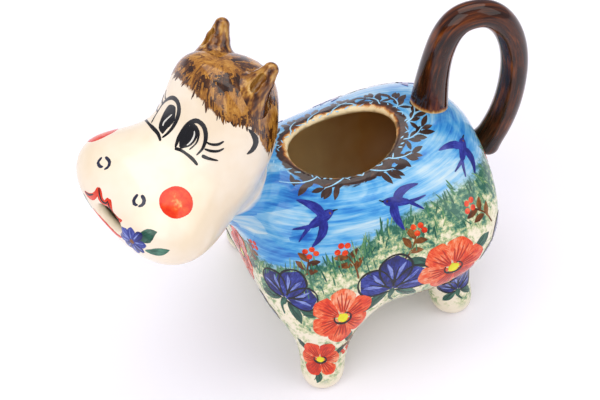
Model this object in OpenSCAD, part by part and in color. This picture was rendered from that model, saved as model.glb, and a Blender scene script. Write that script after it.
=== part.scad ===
// Cow creamer in glazed stoneware: a hollow trunk on four legs, filled through the
// back, with a hollow head that pours at the mouth and a tail bent into the handle.
// +X is towards the head, +Y is the animal's left side, +Z is up, and the table is z = 0.
// It is modelled about the middle of its trunk, with the spine over the x axis, and then
// stood so that the origin lies on the table under the middle of the whole outline.

/* [Casting] */
// Thickness of the fired wall
wall = 4; // [3:0.5:5]
// Radius that rounds the edges of the filling mouth
lip_r = 3; // [1:0.5:3.5]

/* [Trunk] */
// Length of the trunk, chest to rump, at mid height
trunk_l = 100; // [90:1:115]
// Width of the trunk at the rump
rump_w = 106; // [94:1:112]
// Width of the trunk at mid length
waist_w = 86; // [78:1:92]
// Width of the trunk at the chest
chest_w = 73; // [68:1:82]
// Height of the back above the table, over the rump
back_rump_h = 94; // [86:1:98]
// Height of the back above the table, at mid length
back_mid_h = 87; // [83:1:93]
// Height of the back above the table, over the chest
back_chest_h = 87; // [80:1:92]
// Height of the trunk's underside above the table, below the rump
belly_rump_h = 23; // [16:1:28]
// Height of the trunk's underside above the table, at mid length
belly_mid_h = 14; // [12:1:22]
// Height of the trunk's underside above the table, below the chest
belly_chest_h = 10; // [8:1:18]
// How much further forward the chest stands at the back's height than at mid height
chest_lean = 4; // [0:1:10]
// How much further forward the rump stands at the back's height than at mid height
rump_lean = 3; // [0:1:6]

/* [Filling mouth] */
// Length of the oval mouth in the back, inside its rounded edge
mouth_l = 41.5; // [34:0.5:46]
// Width of the oval mouth in the back, inside its rounded edge
mouth_w = 31; // [28:1:36]
// How far in front of the trunk's middle the mouth is centred
mouth_x = 7; // [0:1:12]

/* [Legs] */
// Distance from the trunk's middle forward to the front feet
front_foot_x = 32; // [26:1:34]
// Distance from the trunk's middle back to the rear feet
rear_foot_x = 31; // [26:1:34]
// Distance between the middles of the front feet
front_track = 78; // [66:1:80]
// Distance between the middles of the rear feet
rear_track = 51; // [44:1:60]
// Radius of a foot, just above its sole
foot_r = 8.5; // [7:0.5:10]
// Radius of a leg where it runs into the trunk
thigh_r = 21; // [18:0.5:23]
// Height at which the widening leg is lost inside the trunk
thigh_h = 48; // [42:1:54]

/* [Head] */
// Length of the head from the nape to the end of the muzzle
head_l = 79; // [72:1:86]
// Width of the muzzle, the widest part of the head
muzzle_w = 72; // [66:1:78]
// Height of the head at the brow, crown to throat
brow_h = 56; // [52:1:62]
// Height of the head's middle above the table
head_z = 114.5; // [108:0.5:120]
// Distance of the head's middle in front of the trunk's middle
head_x = 55.5; // [52:0.5:60]
// Angle by which the muzzle points down
nod = 19.5; // [12:0.5:28]
// Angle by which the head turns towards the animal's left
turn = 13.5; // [0:0.5:18]

/* [Neck] */
// Outer radius of the neck where it leaves the chest
neck_low_r = 13.5; // [12:0.5:16]
// Outer radius of the neck inside the head
neck_high_r = 17; // [15:0.5:19]

/* [Pouring mouth] */
// Width of the pouring hole
spout_w = 14; // [10:0.5:16]
// Height of the pouring hole
spout_h = 7; // [6:0.5:9]

/* [Ears] */
// Length of an ear from its root in the head to its tip
ear_l = 25; // [22:1:30]
// Radius of an ear at its root
ear_r = 7.6; // [6.8:0.2:9]
// Distance between the tips of the ears
ear_span = 29; // [26:0.5:34]

/* [Tail handle] */
// Radius of the tail at its two roots
tail_root_r = 5.8; // [5.2:0.2:7]
// Radius of the tail halfway round the loop
tail_mid_r = 5.2; // [4.4:0.2:6]
// Height of the top of the loop's middle line above the table
loop_top_h = 130.5; // [126:0.5:138]
// How far behind the trunk's middle the front root stands
tail_front_x = 31; // [27:0.5:33]
// How far behind the trunk's middle the top of the loop is
loop_top_x = 45.5; // [40:0.5:50]
// How far behind the trunk's middle the loop reaches
loop_back_x = 63; // [58:1:68]
// How far the top of the loop sways to the animal's left
loop_sway = 4; // [0:0.5:7]
// How far the front root stands to the right of the spine
tail_aside = 4; // [0:0.5:6]

/* [Hidden] */
// Depth by which a cut runs past the face that it opens
overrun = 2;
// Thickness of the slices that the legs, the ears and the tail's roots are stacked from
slice = 0.2;
// Numbers of sides and of stations of the trunk and head
ring_sides = 36;
ring_steps = 24;
inner_sides = 28;
inner_steps = 18;
leg_sides = 24;
inner_leg_sides = 16;
hole_sides = 24;
// Numbers of sides of the balls in the neck, in an ear and in the hollow of an ear
neck_sides = 32;
ear_sides = 28;
scoop_sides = 20;
// Angle between the steps that round the edge of the filling mouth
lip_step = 15;

half_l = trunk_l / 2;
mid_z = (back_mid_h + belly_mid_h) / 2;
mid_half_h = (back_mid_h - belly_mid_h) / 2;

// Roundness of the rump and of the chest, seen from the side, where 2 is an ellipse
rump_round = 2.95;
chest_round = 3.7;
// Roundness of the trunk's cross-section at the rump, at mid length and at the chest
section_round = [1.78, 2.02, 2.26];
// Share by which the trunk is wider at the belly than halfway up, and narrower at the back,
// and what is added to it towards the rump
flank_splay_share = 0.1;
rump_splay_share = 0.19;
// The same for the nape, the muzzle and the head's cross-section
nape_round = 2.25;
muzzle_round = 2.7;
head_round = 2.2;

// A curve through three values, at t = -1, 0 and 1
function bend3(rear, mid, front, t) =
    mid + (front - rear) / 2 * t + ((front + rear) / 2 - mid) * t * t;

// A smooth curve through the values at the given places, read at place u
function slope(at, v, i) = (i == 0) ? (v[1] - v[0]) / (at[1] - at[0])
    : (i == len(at) - 1) ? (v[i] - v[i - 1]) / (at[i] - at[i - 1])
    : (v[i + 1] - v[i - 1]) / (at[i + 1] - at[i - 1]);
function hermite(a, b, da, db, t) = (2 * t ^ 3 - 3 * t ^ 2 + 1) * a + (t ^ 3 - 2 * t ^ 2 + t) * da
    + (3 * t ^ 2 - 2 * t ^ 3) * b + (t ^ 3 - t ^ 2) * db;
function span_of(at, u) = max([0, for (i = [1 : len(at) - 2]) if (u >= at[i]) i]);
function smooth(at, v, u) =
    let (i = span_of(at, u), gap = at[i + 1] - at[i])
    hermite(v[i], v[i + 1], slope(at, v, i) * gap, slope(at, v, i + 1) * gap, (u - at[i]) / gap);

// Share of the full section that is left at place t, from -1 to 1, of a form with round ends
function swell(t, rear_p, front_p) =
    let (p = t < 0 ? rear_p : front_p) (1 - abs(t) ^ p) ^ (1 / p);
// Places from -1 to 1 that crowd towards the ends, where a form curves most
end_angle = 4;
function end_places(steps) = [for (i = [0 : steps]) -cos(end_angle + (180 - 2 * end_angle) * i / steps)];
function signed_power(v, e) = sign(v) * abs(v) ^ e;
function oval(half_w, half_h, p, sides) = [for (j = [0 : sides - 1])
    let (a = 360 * j / sides)
    [half_w * signed_power(cos(a), 2 / p), half_h * signed_power(sin(a), 2 / p)]];

// A closed skin over a row of rings that all have the same number of points
module loft(rings) {
    n = len(rings[0]);
    last = len(rings) - 1;
    sides = [for (i = [0 : last - 1], j = [0 : n - 1]) let (k = (j + 1) % n)
        each [[i * n + j, (i + 1) * n + j, (i + 1) * n + k], [i * n + j, (i + 1) * n + k, i * n + k]]];
    polyhedron(points = [for (ring = rings) each ring],
        faces = concat([[for (j = [0 : n - 1]) j]], sides, [[for (j = [n - 1 : -1 : 0]) last * n + j]]));
}

// Trunk

function lean(x, z) =
    (x / half_l) ^ 2 * (x > 0 ? chest_lean : rump_lean) * (z - mid_z) / mid_half_h;
function splay(x, z) =
    1 - (flank_splay_share + rump_splay_share * max(0, -x / half_l)) * (z - mid_z) / mid_half_h;
function trunk_ring(t, inset, sides) =
    let (x = t * (half_l - inset), u = x / half_l, s = swell(t, rump_round, chest_round),
         top = bend3(back_rump_h, back_mid_h, back_chest_h, u) - inset,
         bottom = bend3(belly_rump_h, belly_mid_h, belly_chest_h, u) + inset,
         half_w = bend3(rump_w, waist_w, chest_w, u) / 2 - inset,
         p = bend3(section_round[0], section_round[1], section_round[2], u))
    [for (q = oval(half_w * s, (top - bottom) / 2 * s, p, sides))
        let (z = (top + bottom) / 2 + q.y) [x + lean(x, z), q.x * splay(x, z), z]];

function trunk_rings(inset, sides, steps) = [for (t = end_places(steps)) trunk_ring(t, inset, sides)];
module trunk(inset, sides, steps) {
    loft(trunk_rings(inset, sides, steps));
}

// Heights and radii up a leg, as shares of the thigh's height and of the way from foot to thigh
leg_height_shares = [0, 0.035, 0.1, 0.22, 0.36, 0.52, 0.72, 1];
leg_flare_shares = [-0.22, -0.07, 0, 0.04, 0.16, 0.42, 0.78, 1];
// How far the hip lies inwards of the foot, along and across the trunk, as shares of thigh_r
hip_in_x_share = 0.48;
hip_in_y_share = 1.05;

module leg(foot_x, foot_y, inset, sides) {
    steps = [for (i = [0 : len(leg_height_shares) - 1])
        let (h = leg_height_shares[i], r = foot_r + (thigh_r - foot_r) * leg_flare_shares[i] - inset,
             in = thigh_r * h ^ 1.5)
        [foot_x - sign(foot_x) * hip_in_x_share * in, foot_y - sign(foot_y) * hip_in_y_share * in,
         h * (thigh_h - slice) + (i == 0 ? inset : 0), r]];
    for (i = [0 : len(steps) - 2]) if (inset == 0 || i != 1) hull()
        for (s = [steps[i], steps[inset > 0 && i == 0 ? 2 : i + 1]])
            translate([s[0], s[1], s[2]]) cylinder(r = s[3], h = slice, $fn = sides);
}

module legs(inset, sides) {
    for (side = [-1, 1]) {
        leg(front_foot_x, side * front_track / 2, inset, sides);
        leg(-rear_foot_x, side * rear_track / 2, inset, sides);
    }
}

// The filling mouth: straight through the wall, then flaring to a rounded edge
back_z = bend3(back_rump_h, back_mid_h, back_chest_h, mouth_x / half_l);
module filling_mouth() {
    flare = [for (a = [0 : lip_step : 90]) [lip_r * (1 - cos(a)), lip_r * (sin(a) - 1)]];
    profile = concat([[0, -wall - lip_r - overrun]], flare, [[2 * lip_r, lip_r]]);
    loft([for (p = profile) [for (q = oval(mouth_l / 2 + p.x, mouth_w / 2 + p.x, 2, ring_sides))
        [mouth_x + q.x, q.y, back_z + p.y]]]);
}

module body_solid() {
    trunk(0, ring_sides, ring_steps);
    legs(0, leg_sides);
}

module body_casting() {
    color("#6FB9E8") stand() difference() {
        body_solid();
        trunk(wall, inner_sides, inner_steps);
        legs(wall, inner_leg_sides);
        filling_mouth();
        neck(wall);
    }
}

// Head, in its own frame: u along the muzzle, v to its left, w up

// Places along the head, and its half width, crown and jaw there
head_place_shares = [0, 0.245, 0.514, 0.806, 1];
head_width_shares = [0.51, 0.65, 0.65, 1, 1.13];
crown_shares = [0.45, 0.565, 0.207, 0.257, 0.292];
jaw_shares = [0.312, 0.438, 0.563, 0.448, 0.438];
// Share of the head's length that lies behind its middle
nape_share = 0.306;

nape_u = -nape_share * head_l;
head_u = [for (s = head_place_shares) nape_u + s * head_l];

function head_point(p) =
    let (ct = cos(turn), st = sin(turn), cn = cos(nod), sn = sin(nod))
    [head_x + p.x * ct * cn - p.y * st + p.z * ct * sn,
     p.x * st * cn + p.y * ct + p.z * st * sn,
     head_z - p.x * sn + p.z * cn];

function head_ring(t, inset, sides) =
    let (u = nape_u + head_l / 2 + t * (head_l / 2 - inset), s = swell(t, nape_round, muzzle_round),
         half_w = smooth(head_u, head_width_shares * muzzle_w / 2, u) - inset,
         top = smooth(head_u, crown_shares * brow_h, u) - inset,
         bottom = -smooth(head_u, jaw_shares * brow_h, u) + inset)
    [for (p = oval(half_w * s, (top - bottom) / 2 * s, head_round, sides))
        head_point([u, p.x, (top + bottom) / 2 + p.y])];

function head_rings(inset, sides, steps) = [for (t = end_places(steps)) head_ring(t, inset, sides)];
module skull(inset, sides, steps) {
    loft(head_rings(inset, sides, steps));
}

// The neck is a row of balls that rises in a bow from inside the chest into the head
neck_low_shares = [0.84, 0.5];
neck_bend_shares = [1.24, 1.12];
neck_high_drop_share = 0.12;
neck_low = [half_l * neck_low_shares.x, 0, mid_z + mid_half_h * neck_low_shares.y];
neck_bend = [half_l * neck_bend_shares.x, 0, mid_z + mid_half_h * neck_bend_shares.y];
neck_high = [head_x, 0, head_z - neck_high_drop_share * brow_h];
neck_balls = 5;
function neck_ball(k) = (1 - k) ^ 2 * neck_low + 2 * (1 - k) * k * neck_bend + k ^ 2 * neck_high;
module neck(inset) {
    for (i = [0 : neck_balls - 1]) hull() for (k = [i / neck_balls, (i + 1) / neck_balls])
        translate(neck_ball(k)) sphere(r = (1 - k) * neck_low_r + k * neck_high_r - inset, $fn = neck_sides);
}

// Places of the pouring hole, as shares of the head's length: how far it lies to the left of
// the head's middle line and above it, and where inside the muzzle the cut for it begins
spout_place_shares = [0.045, 0.035];
spout_from_share = 0.75;
module pouring_mouth() {
    from_u = nape_u + head_l * spout_from_share;
    to_u = nape_u + head_l + overrun;
    loft([for (u = [from_u, to_u]) [for (q = oval(spout_w / 2, spout_h / 2, 2, hole_sides))
        head_point([u, q.x + spout_place_shares.x * head_l, q.y + spout_place_shares.y * head_l])]]);
}

module head_solid() {
    skull(0, ring_sides, ring_steps);
    neck(0);
}

module head_casting() {
    color("#FBEFDD") stand() difference() {
        head_solid();
        skull(wall, inner_sides, inner_steps);
        neck(wall);
        pouring_mouth();
        body_solid();
    }
}

// Ears: small horns that curl back and out, hollowed on the front

ear_radius_shares = [1, 0.96, 0.88, 0.76, 0.6, 0.37];
ear_parts = len(ear_radius_shares) - 1;
// The root's place in the head, as shares of its length, its half width and its height
ear_root_shares = [-0.05, 0.222, 0.112];
ear_root = [ear_root_shares.x * head_l, ear_root_shares.y * muzzle_w / 2, ear_root_shares.z * brow_h];
// Height and width that an ear gains, as a share of its length; the rest of it runs backwards
ear_rise_share = 0.67;
ear_out = ear_span / 2 - ear_root.y;
ear_back = sqrt(ear_l ^ 2 * (1 - ear_rise_share ^ 2) - ear_out ^ 2);
// How deep the hollow is cut, and how wide it is, as shares of the ear's root radius
scoop_depth_share = 0.14;
scoop_width_share = 0.5;

function ear_ball(k) = [ear_root.x - ear_back * k ^ 1.3, ear_root.y + ear_out * k,
    ear_root.z + ear_rise_share * ear_l * k];

module ear(side) {
    color("#8A5523") stand() difference() {
        for (i = [0 : ear_parts - 1]) hull() for (m = [i, i + 1])
            let (b = ear_ball(m / ear_parts)) translate(head_point([b.x, side * b.y, b.z]))
                sphere(r = ear_r * ear_radius_shares[m], $fn = ear_sides);
        for (i = [1 : ear_parts - 2]) hull() for (m = [i, i + 1])
            let (b = ear_ball(m / ear_parts), r = ear_r * ear_radius_shares[m])
                translate(head_point([b.x + r * (1 + scoop_width_share - scoop_depth_share), side * b.y,
                                      b.z - r * scoop_depth_share]))
                    sphere(r = r * scoop_width_share, $fn = scoop_sides);
        head_solid();
    }
}
module left_ear() { ear(1); }
module right_ear() { ear(-1); }

// Tail handle: one roll of clay, up from the back, over, and down to the rump

// Height of the loop's rearmost place, as a share of the way from the trunk's middle to its top
loop_back_h_share = 0.57;
// Places of the tail's middle line, in the plane y = 0 before it sways
tail_front = [-tail_front_x, back_mid_h - tail_root_r];
tail_top = [-loop_top_x, loop_top_h];
tail_back = [-loop_back_x, mid_z + (loop_top_h - mid_z) * loop_back_h_share];
tail_end = [-half_l - rump_lean, mid_z + tail_root_r];
// Reach of the curves' handles, as a share of the distance to the next place
front_curve_share = 0.9;
curve_share = 0.55;
end_curve_share = 0.3;
// Widening of the clay pressed down at each root, and the stretch that it takes up
root_flare_share = 0.35;
root_stretch_share = 0.12;
tail_sides = 20;
tail_curve_steps = 12;

function bezier(a, b, c, d, t) =
    (1 - t) ^ 3 * a + 3 * (1 - t) ^ 2 * t * b + 3 * (1 - t) * t ^ 2 * c + t ^ 3 * d;
function tail_curve(a, b, c, d) =
    [for (i = [0 : tail_curve_steps - 1]) bezier(a, b, c, d, i / tail_curve_steps)];
tail_flat = concat(
    tail_curve(tail_front, [tail_front.x, tail_front.y + front_curve_share * (tail_top.y - tail_front.y)],
               [tail_top.x + curve_share * (tail_front.x - tail_top.x), tail_top.y], tail_top),
    tail_curve(tail_top, [tail_top.x + curve_share * (tail_back.x - tail_top.x), tail_top.y],
               [tail_back.x, tail_back.y + curve_share * (tail_top.y - tail_back.y)], tail_back),
    tail_curve(tail_back, [tail_back.x, tail_back.y - curve_share * (tail_back.y - tail_end.y)],
               tail_end + end_curve_share * [tail_back.x - tail_end.x, (tail_back.y - tail_end.y) / 2],
               tail_end), [tail_end]);
tail_last = len(tail_flat) - 1;
function tail_point(i) =
    [tail_flat[i].x, loop_sway * sin(180 * i / tail_last) - tail_aside * (1 - i / tail_last) ^ 2,
     tail_flat[i].y];

function tail_radius(k) =
    let (off = abs(2 * k - 1), root = max(0, (off - 1 + 2 * root_stretch_share) / (2 * root_stretch_share)))
    tail_mid_r + (tail_root_r - tail_mid_r) * off ^ 2 + tail_root_r * root_flare_share * root ^ 2;
function tail_ring(i) =
    let (d = tail_point(min(i + 1, tail_last)) - tail_point(max(i - 1, 0)), along = d / norm(d),
         across = cross(along, [0, 1, 0]), n = across / norm(across), b = cross(along, n),
         r = tail_radius(i / tail_last))
    [for (j = [0 : tail_sides - 1]) let (a = 360 * j / tail_sides)
        tail_point(i) + r * (cos(a) * n + sin(a) * b)];

tail_rings = [for (i = [0 : tail_last]) tail_ring(i)];

module tail_handle() {
    color("#3A1D10") stand() difference() {
        loft(tail_rings);
        body_solid();
    }
}

// Where the whole outline's middle lies, from the skins that reach furthest out
trunk_skin = [for (ring = trunk_rings(0, ring_sides, ring_steps)) each ring];
head_skin = [for (ring = head_rings(0, ring_sides, ring_steps)) each ring];
tail_skin = [for (ring = tail_rings) each ring];
middle_x = (max([for (p = head_skin) p.x]) + min([for (p = tail_skin) p.x])) / 2;
middle_y = (max([for (p = concat(trunk_skin, head_skin)) p.y])
    + min([for (p = concat(trunk_skin, head_skin)) p.y])) / 2;
module stand() {
    translate([-middle_x, -middle_y, 0]) children();
}

body_casting();
head_casting();
left_ear();
right_ear();
tail_handle();
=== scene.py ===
# A hollow stoneware creamer in the form of a cow: cast in slip, dipped in cream glaze and
# painted by hand. The forms are worked out in millimetres about the middle of the trunk, as
# a potter would measure them, and made into meshes in metres where the creamer stands.
import math

import bmesh
import bpy
import numpy as np
from mathutils import Matrix, Vector


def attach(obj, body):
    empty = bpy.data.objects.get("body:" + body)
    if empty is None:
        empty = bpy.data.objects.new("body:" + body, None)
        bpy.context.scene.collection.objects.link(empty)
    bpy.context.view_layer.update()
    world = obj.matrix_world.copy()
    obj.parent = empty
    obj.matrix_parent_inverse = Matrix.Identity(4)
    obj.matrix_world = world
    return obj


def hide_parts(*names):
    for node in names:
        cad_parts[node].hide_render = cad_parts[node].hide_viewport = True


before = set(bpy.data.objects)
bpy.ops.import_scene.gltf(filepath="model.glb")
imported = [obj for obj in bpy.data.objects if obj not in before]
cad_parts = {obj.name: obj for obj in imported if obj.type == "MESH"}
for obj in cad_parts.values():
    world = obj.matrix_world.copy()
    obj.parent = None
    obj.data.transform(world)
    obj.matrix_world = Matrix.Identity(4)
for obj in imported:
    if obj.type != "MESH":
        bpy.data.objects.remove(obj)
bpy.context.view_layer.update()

MM = 0.001
STAND_X = -19.91  # the trunk's middle, from the middle of the whole creamer

# The clay form, in millimetres about the middle of the trunk

WALL = 4.0
TRUNK_L, TRUNK_W = 100.0, (106.0, 86.0, 73.0)
BACK_H, BELLY_H = (94.0, 87.0, 87.0), (23.0, 14.0, 10.0)
CHEST_LEAN, RUMP_LEAN = 4.0, 3.0
RUMP_ROUND, CHEST_ROUND = 2.95, 3.7
SECTION_ROUND = (1.78, 2.02, 2.26)
FLANK_SPLAY, RUMP_SPLAY = 0.10, 0.19
MOUTH_X, MOUTH_L, MOUTH_W = 7.0, 41.5, 31.0
FEET = ((32.0, 39.0), (32.0, -39.0), (-31.0, 25.5), (-31.0, -25.5))
FOOT_R, THIGH_R, THIGH_H = 8.5, 21.0, 48.0
LEG_H = (0, 0.035, 0.1, 0.22, 0.36, 0.52, 0.72, 1)
LEG_FLARE = (-0.22, -0.07, 0, 0.04, 0.16, 0.42, 0.78, 1)
HIP_IN = (0.48, 1.05)
HEAD_L, MUZZLE_W, BROW_H = 79.0, 72.0, 56.0
HEAD_X, HEAD_Z, NOD, TURN = 55.5, 114.5, np.radians(19.5), np.radians(13.5)
NAPE_SHARE = 0.306
HEAD_PLACE = (0, 0.245, 0.514, 0.806, 1)
HEAD_WIDTH = (0.51, 0.65, 0.65, 1, 1.13)
CROWN = (0.45, 0.565, 0.207, 0.257, 0.292)
JAW = (0.312, 0.438, 0.563, 0.448, 0.438)
NAPE_ROUND, MUZZLE_ROUND, HEAD_ROUND = 2.25, 2.7, 2.2
NECK_LOW_R, NECK_HIGH_R = 13.5, 17.0
SPOUT_W, SPOUT_H, SPOUT_ASIDE, SPOUT_RISE, SPOUT_PLACE = 14.0, 7.0, 0.045, 0.035, 0.75
LIP_R, SPOUT_LIP_R, SOLE_R, HIP_R, LEG_OVER = 4.0, 2.4, 1.6, 12, 4
SKIN_HOLLOWS, INNER_HOLLOWS = (11, 8, 6), (6, 5, 4)  # how soft the hip, the throat and the chest are
FLARE_SLOPE = 0.88  # a leg's radius grows with height, so its field is steeper than a distance
# Past these places a form is too far away to matter, and isn't worked out
TRUNK_TO_X, LEG_TO_Z, LEG_REACH, HEAD_FROM_X, NECK_SPAN_X, NECK_FROM_Z = 70, 66, 50, 18, (20, 85), 40
HALF_L = TRUNK_L / 2
MID_Z, MID_HALF_H = (BACK_H[1] + BELLY_H[1]) / 2, (BACK_H[1] - BELLY_H[1]) / 2
NECK = np.array([[0.84 * HALF_L, 0, MID_Z + 0.5 * MID_HALF_H],
                 [1.24 * HALF_L, 0, MID_Z + 1.12 * MID_HALF_H],
                 [HEAD_X, 0, HEAD_Z - 0.12 * BROW_H]])
HEAD_AT = np.array([HEAD_X, 0.0, HEAD_Z])
HEAD_AXES = np.array([
    [np.cos(TURN) * np.cos(NOD), np.sin(TURN) * np.cos(NOD), -np.sin(NOD)],
    [-np.sin(TURN), np.cos(TURN), 0.0],
    [np.cos(TURN) * np.sin(NOD), np.sin(TURN) * np.sin(NOD), np.cos(NOD)]])


def in_head(points):
    """Forwards, left and up in the nodding, turned head, from its middle."""
    return (points - HEAD_AT) @ HEAD_AXES.T


def out_of_head(points):
    return HEAD_AT + np.asarray(points, float) @ HEAD_AXES


def bend3(ends, t):
    """A curve through a value at the rear, the middle and the front, for t from -1 to 1."""
    rear, mid, front = ends
    return mid + (front - rear) / 2 * t + ((front + rear) / 2 - mid) * t * t


def smooth_curve(at, values):
    """A table of a smooth curve through values at the given places, for np.interp."""
    at, v = np.asarray(at, float), np.asarray(values, float)
    slope = np.empty_like(v)
    slope[0], slope[-1] = (v[1] - v[0]) / (at[1] - at[0]), (v[-1] - v[-2]) / (at[-1] - at[-2])
    slope[1:-1] = (v[2:] - v[:-2]) / (at[2:] - at[:-2])
    u = np.linspace(at[0], at[-1], 241)
    i = np.clip(np.searchsorted(at, u, side="right") - 1, 0, len(at) - 2)
    gap = at[i + 1] - at[i]
    t = (u - at[i]) / gap
    return u, ((2 * t**3 - 3 * t**2 + 1) * v[i] + (t**3 - 2 * t**2 + t) * gap * slope[i]
               + (3 * t**2 - 2 * t**3) * v[i + 1] + (t**3 - t**2) * gap * slope[i + 1])


NAPE_U = -NAPE_SHARE * HEAD_L
HEAD_U = NAPE_U + np.array(HEAD_PLACE) * HEAD_L
HEAD_HALF_W = smooth_curve(HEAD_U, np.array(HEAD_WIDTH) * MUZZLE_W / 2)
HEAD_TOP = smooth_curve(HEAD_U, np.array(CROWN) * BROW_H)
HEAD_BOTTOM = smooth_curve(HEAD_U, np.array(JAW) * BROW_H)
LEG_SWELL = smooth_curve(LEG_H, LEG_FLARE)


def egg(across, up, along, round_across, round_along):
    """Below 0 inside a form with an oval section and rounded ends; reaches are shares of half sizes."""
    section = np.abs(across)**round_across + np.abs(up)**round_across
    return (section**(round_along / round_across) + np.abs(along)**round_along)**(1 / round_along) - 1


def depth(form, p, inset=0.0, step=0.05):
    """The distance from a form's surface, nearly, below 0 inside it."""
    f = form(p, inset)
    slope = [(form(p + step * axis, inset) - f) / step for axis in np.eye(3)]
    return f / np.maximum(np.sqrt(sum(s * s for s in slope)), 1e-4)


def trunk(p, inset):
    """The barrel of the body; its bends are held still a little way past its ends."""
    x, y, z = p.T
    rise = np.clip((z - MID_Z) / MID_HALF_H, -1.7, 1.7)
    x0 = x
    for _ in range(3):
        x0 = x - np.clip(x0 / HALF_L, -1.3, 1.3)**2 * np.where(x0 > 0, CHEST_LEAN, RUMP_LEAN) * rise
    u = np.clip(x0 / HALF_L, -1.1, 1.1)
    top, bottom = bend3(BACK_H, u) - inset, bend3(BELLY_H, u) + inset
    half_w = bend3(TRUNK_W, u) / 2 - inset
    splay = 1 - (FLANK_SPLAY + RUMP_SPLAY * np.maximum(0, -u)) * rise
    return egg(y / splay / half_w, (z - (top + bottom) / 2) / ((top - bottom) / 2), x0 / (HALF_L - inset),
               bend3(SECTION_ROUND, u), np.where(x0 < 0, RUMP_ROUND, CHEST_ROUND))


def skull(p, inset):
    """The head from the nape to the muzzle, wider and deeper towards the mouth."""
    u, v, w = in_head(p).T
    half_w = np.interp(u, *HEAD_HALF_W) - inset
    top, bottom = np.interp(u, *HEAD_TOP) - inset, inset - np.interp(u, *HEAD_BOTTOM)
    along = (u - NAPE_U - HEAD_L / 2) / (HEAD_L / 2 - inset)
    return egg(v / half_w, (w - (top + bottom) / 2) / ((top - bottom) / 2), along,
               HEAD_ROUND, np.where(along < 0, NAPE_ROUND, MUZZLE_ROUND))


def rod(p, a, b, ra, rb):
    """Distance, nearly, from a round rod between two places, with a radius at each."""
    d = b - a
    t = np.clip((p - a) @ d / (d @ d), 0, 1)
    return np.linalg.norm(p - a - t[:, None] * d, axis=1) - ra - t * (rb - ra)


def rods(p, places, radii):
    return np.min([rod(p, *four) for four in zip(places, places[1:], radii, radii[1:])], axis=0)


def neck(p, inset):
    k = np.linspace(0, 1, 9)[:, None]
    places = (1 - k)**2 * NECK[0] + 2 * (1 - k) * k * NECK[1] + k**2 * NECK[2]
    radii = NECK_LOW_R + k[:, 0] * (NECK_HIGH_R - NECK_LOW_R) - inset
    return rods(p, places, radii)


def smooth_min(a, b, soft):
    h = np.maximum(soft - np.abs(a - b), 0) / soft
    return np.minimum(a, b) - h * h * soft / 4


def smooth_max(a, b, soft):
    return -smooth_min(-a, -b, soft)


def leg(p, foot, inset):
    """A leg that flares upwards and leans in to the hip, on a flat sole."""
    x, y, z = p.T
    h = np.clip(z / THIGH_H, 0, 1)
    radius = FOOT_R + (THIGH_R - FOOT_R) * np.interp(h, *LEG_SWELL) - inset
    lean = THIGH_R * h**1.5
    cx = foot[0] - np.sign(foot[0]) * HIP_IN[0] * lean
    cy = foot[1] - np.sign(foot[1]) * HIP_IN[1] * lean
    f = smooth_max(FLARE_SLOPE * (np.hypot(x - cx, y - cy) - radius), inset - z, SOLE_R)
    return smooth_max(f, z - THIGH_H - LEG_OVER, HIP_R)


def where(near, form, p, far=25.0):
    """A form's field, worked out only where the form is near."""
    f = np.full(len(p), far)
    if near.any():
        f[near] = form(p[near])
    return f


def hull(p, inset, hollows):
    """Distance from the skin at an inset, nearly, with the given softness of its hollows."""
    x, y, z = p.T
    hip, throat, chest = hollows
    f = where(x < TRUNK_TO_X, lambda q: depth(trunk, q, inset), p)
    for foot in FEET:
        f = smooth_min(f, where((z < LEG_TO_Z) & (np.hypot(x - foot[0], y - foot[1]) < LEG_REACH),
                                lambda q: leg(q, foot, inset), p), hip)
    by_neck = (x > NECK_SPAN_X[0]) & (x < NECK_SPAN_X[1]) & (z > NECK_FROM_Z)
    head = smooth_min(where(x > HEAD_FROM_X, lambda q: depth(skull, q, inset), p),
                      where(by_neck, lambda q: neck(q, inset), p), throat)
    return smooth_min(f, head, chest)


def outside(p):
    return hull(p, 0.0, SKIN_HOLLOWS)


def inside(p):
    return hull(p, WALL, INNER_HOLLOWS)


def oval(x, y, half_l, half_w):
    """Distance outwards from the edge of an oval, nearly."""
    e = np.hypot(x / half_l, y / half_w) + 1e-6
    return (e - 1) * e / np.hypot(x / half_l**2, y / half_w**2 + 1e-9)


def beyond_mouth(p):
    """Distance outwards from the edge of the filling mouth, in plan."""
    return oval(p[:, 0] - MOUTH_X, p[:, 1], MOUTH_L / 2, MOUTH_W / 2)


def filling_mouth(p):
    return np.maximum(beyond_mouth(p), MID_Z - p[:, 2])


def pouring_mouth(p):
    u, v, w = in_head(p).T
    edge = oval(v - SPOUT_ASIDE * HEAD_L, w - SPOUT_RISE * HEAD_L, SPOUT_W / 2, SPOUT_H / 2)
    return np.maximum(edge, (SPOUT_PLACE - NAPE_SHARE) * HEAD_L - u)


def clay(p):
    """Distance from the fired wall's surface, nearly, below 0 in the clay."""
    f = np.maximum(outside(p), -inside(p))
    f = smooth_max(f, -filling_mouth(p), LIP_R)
    return smooth_max(f, -pouring_mouth(p), SPOUT_LIP_R)


def slope_of(form, p, f, step=0.01):
    return np.stack([(form(p + step * axis) - f) / step for axis in np.eye(3)], 1)


def settle(form, p, rounds=2, reach=0.8):
    """Moves points straight onto a form's surface."""
    for _ in range(rounds):
        f = form(p)
        g = slope_of(form, p, f)
        p = p - np.clip(f / np.maximum((g * g).sum(1), 0.05), -reach, reach)[:, None] * g
    return p


NEAR_BLOCK = 1.25  # a block this many of its own sizes from the surface isn't looked into


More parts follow.
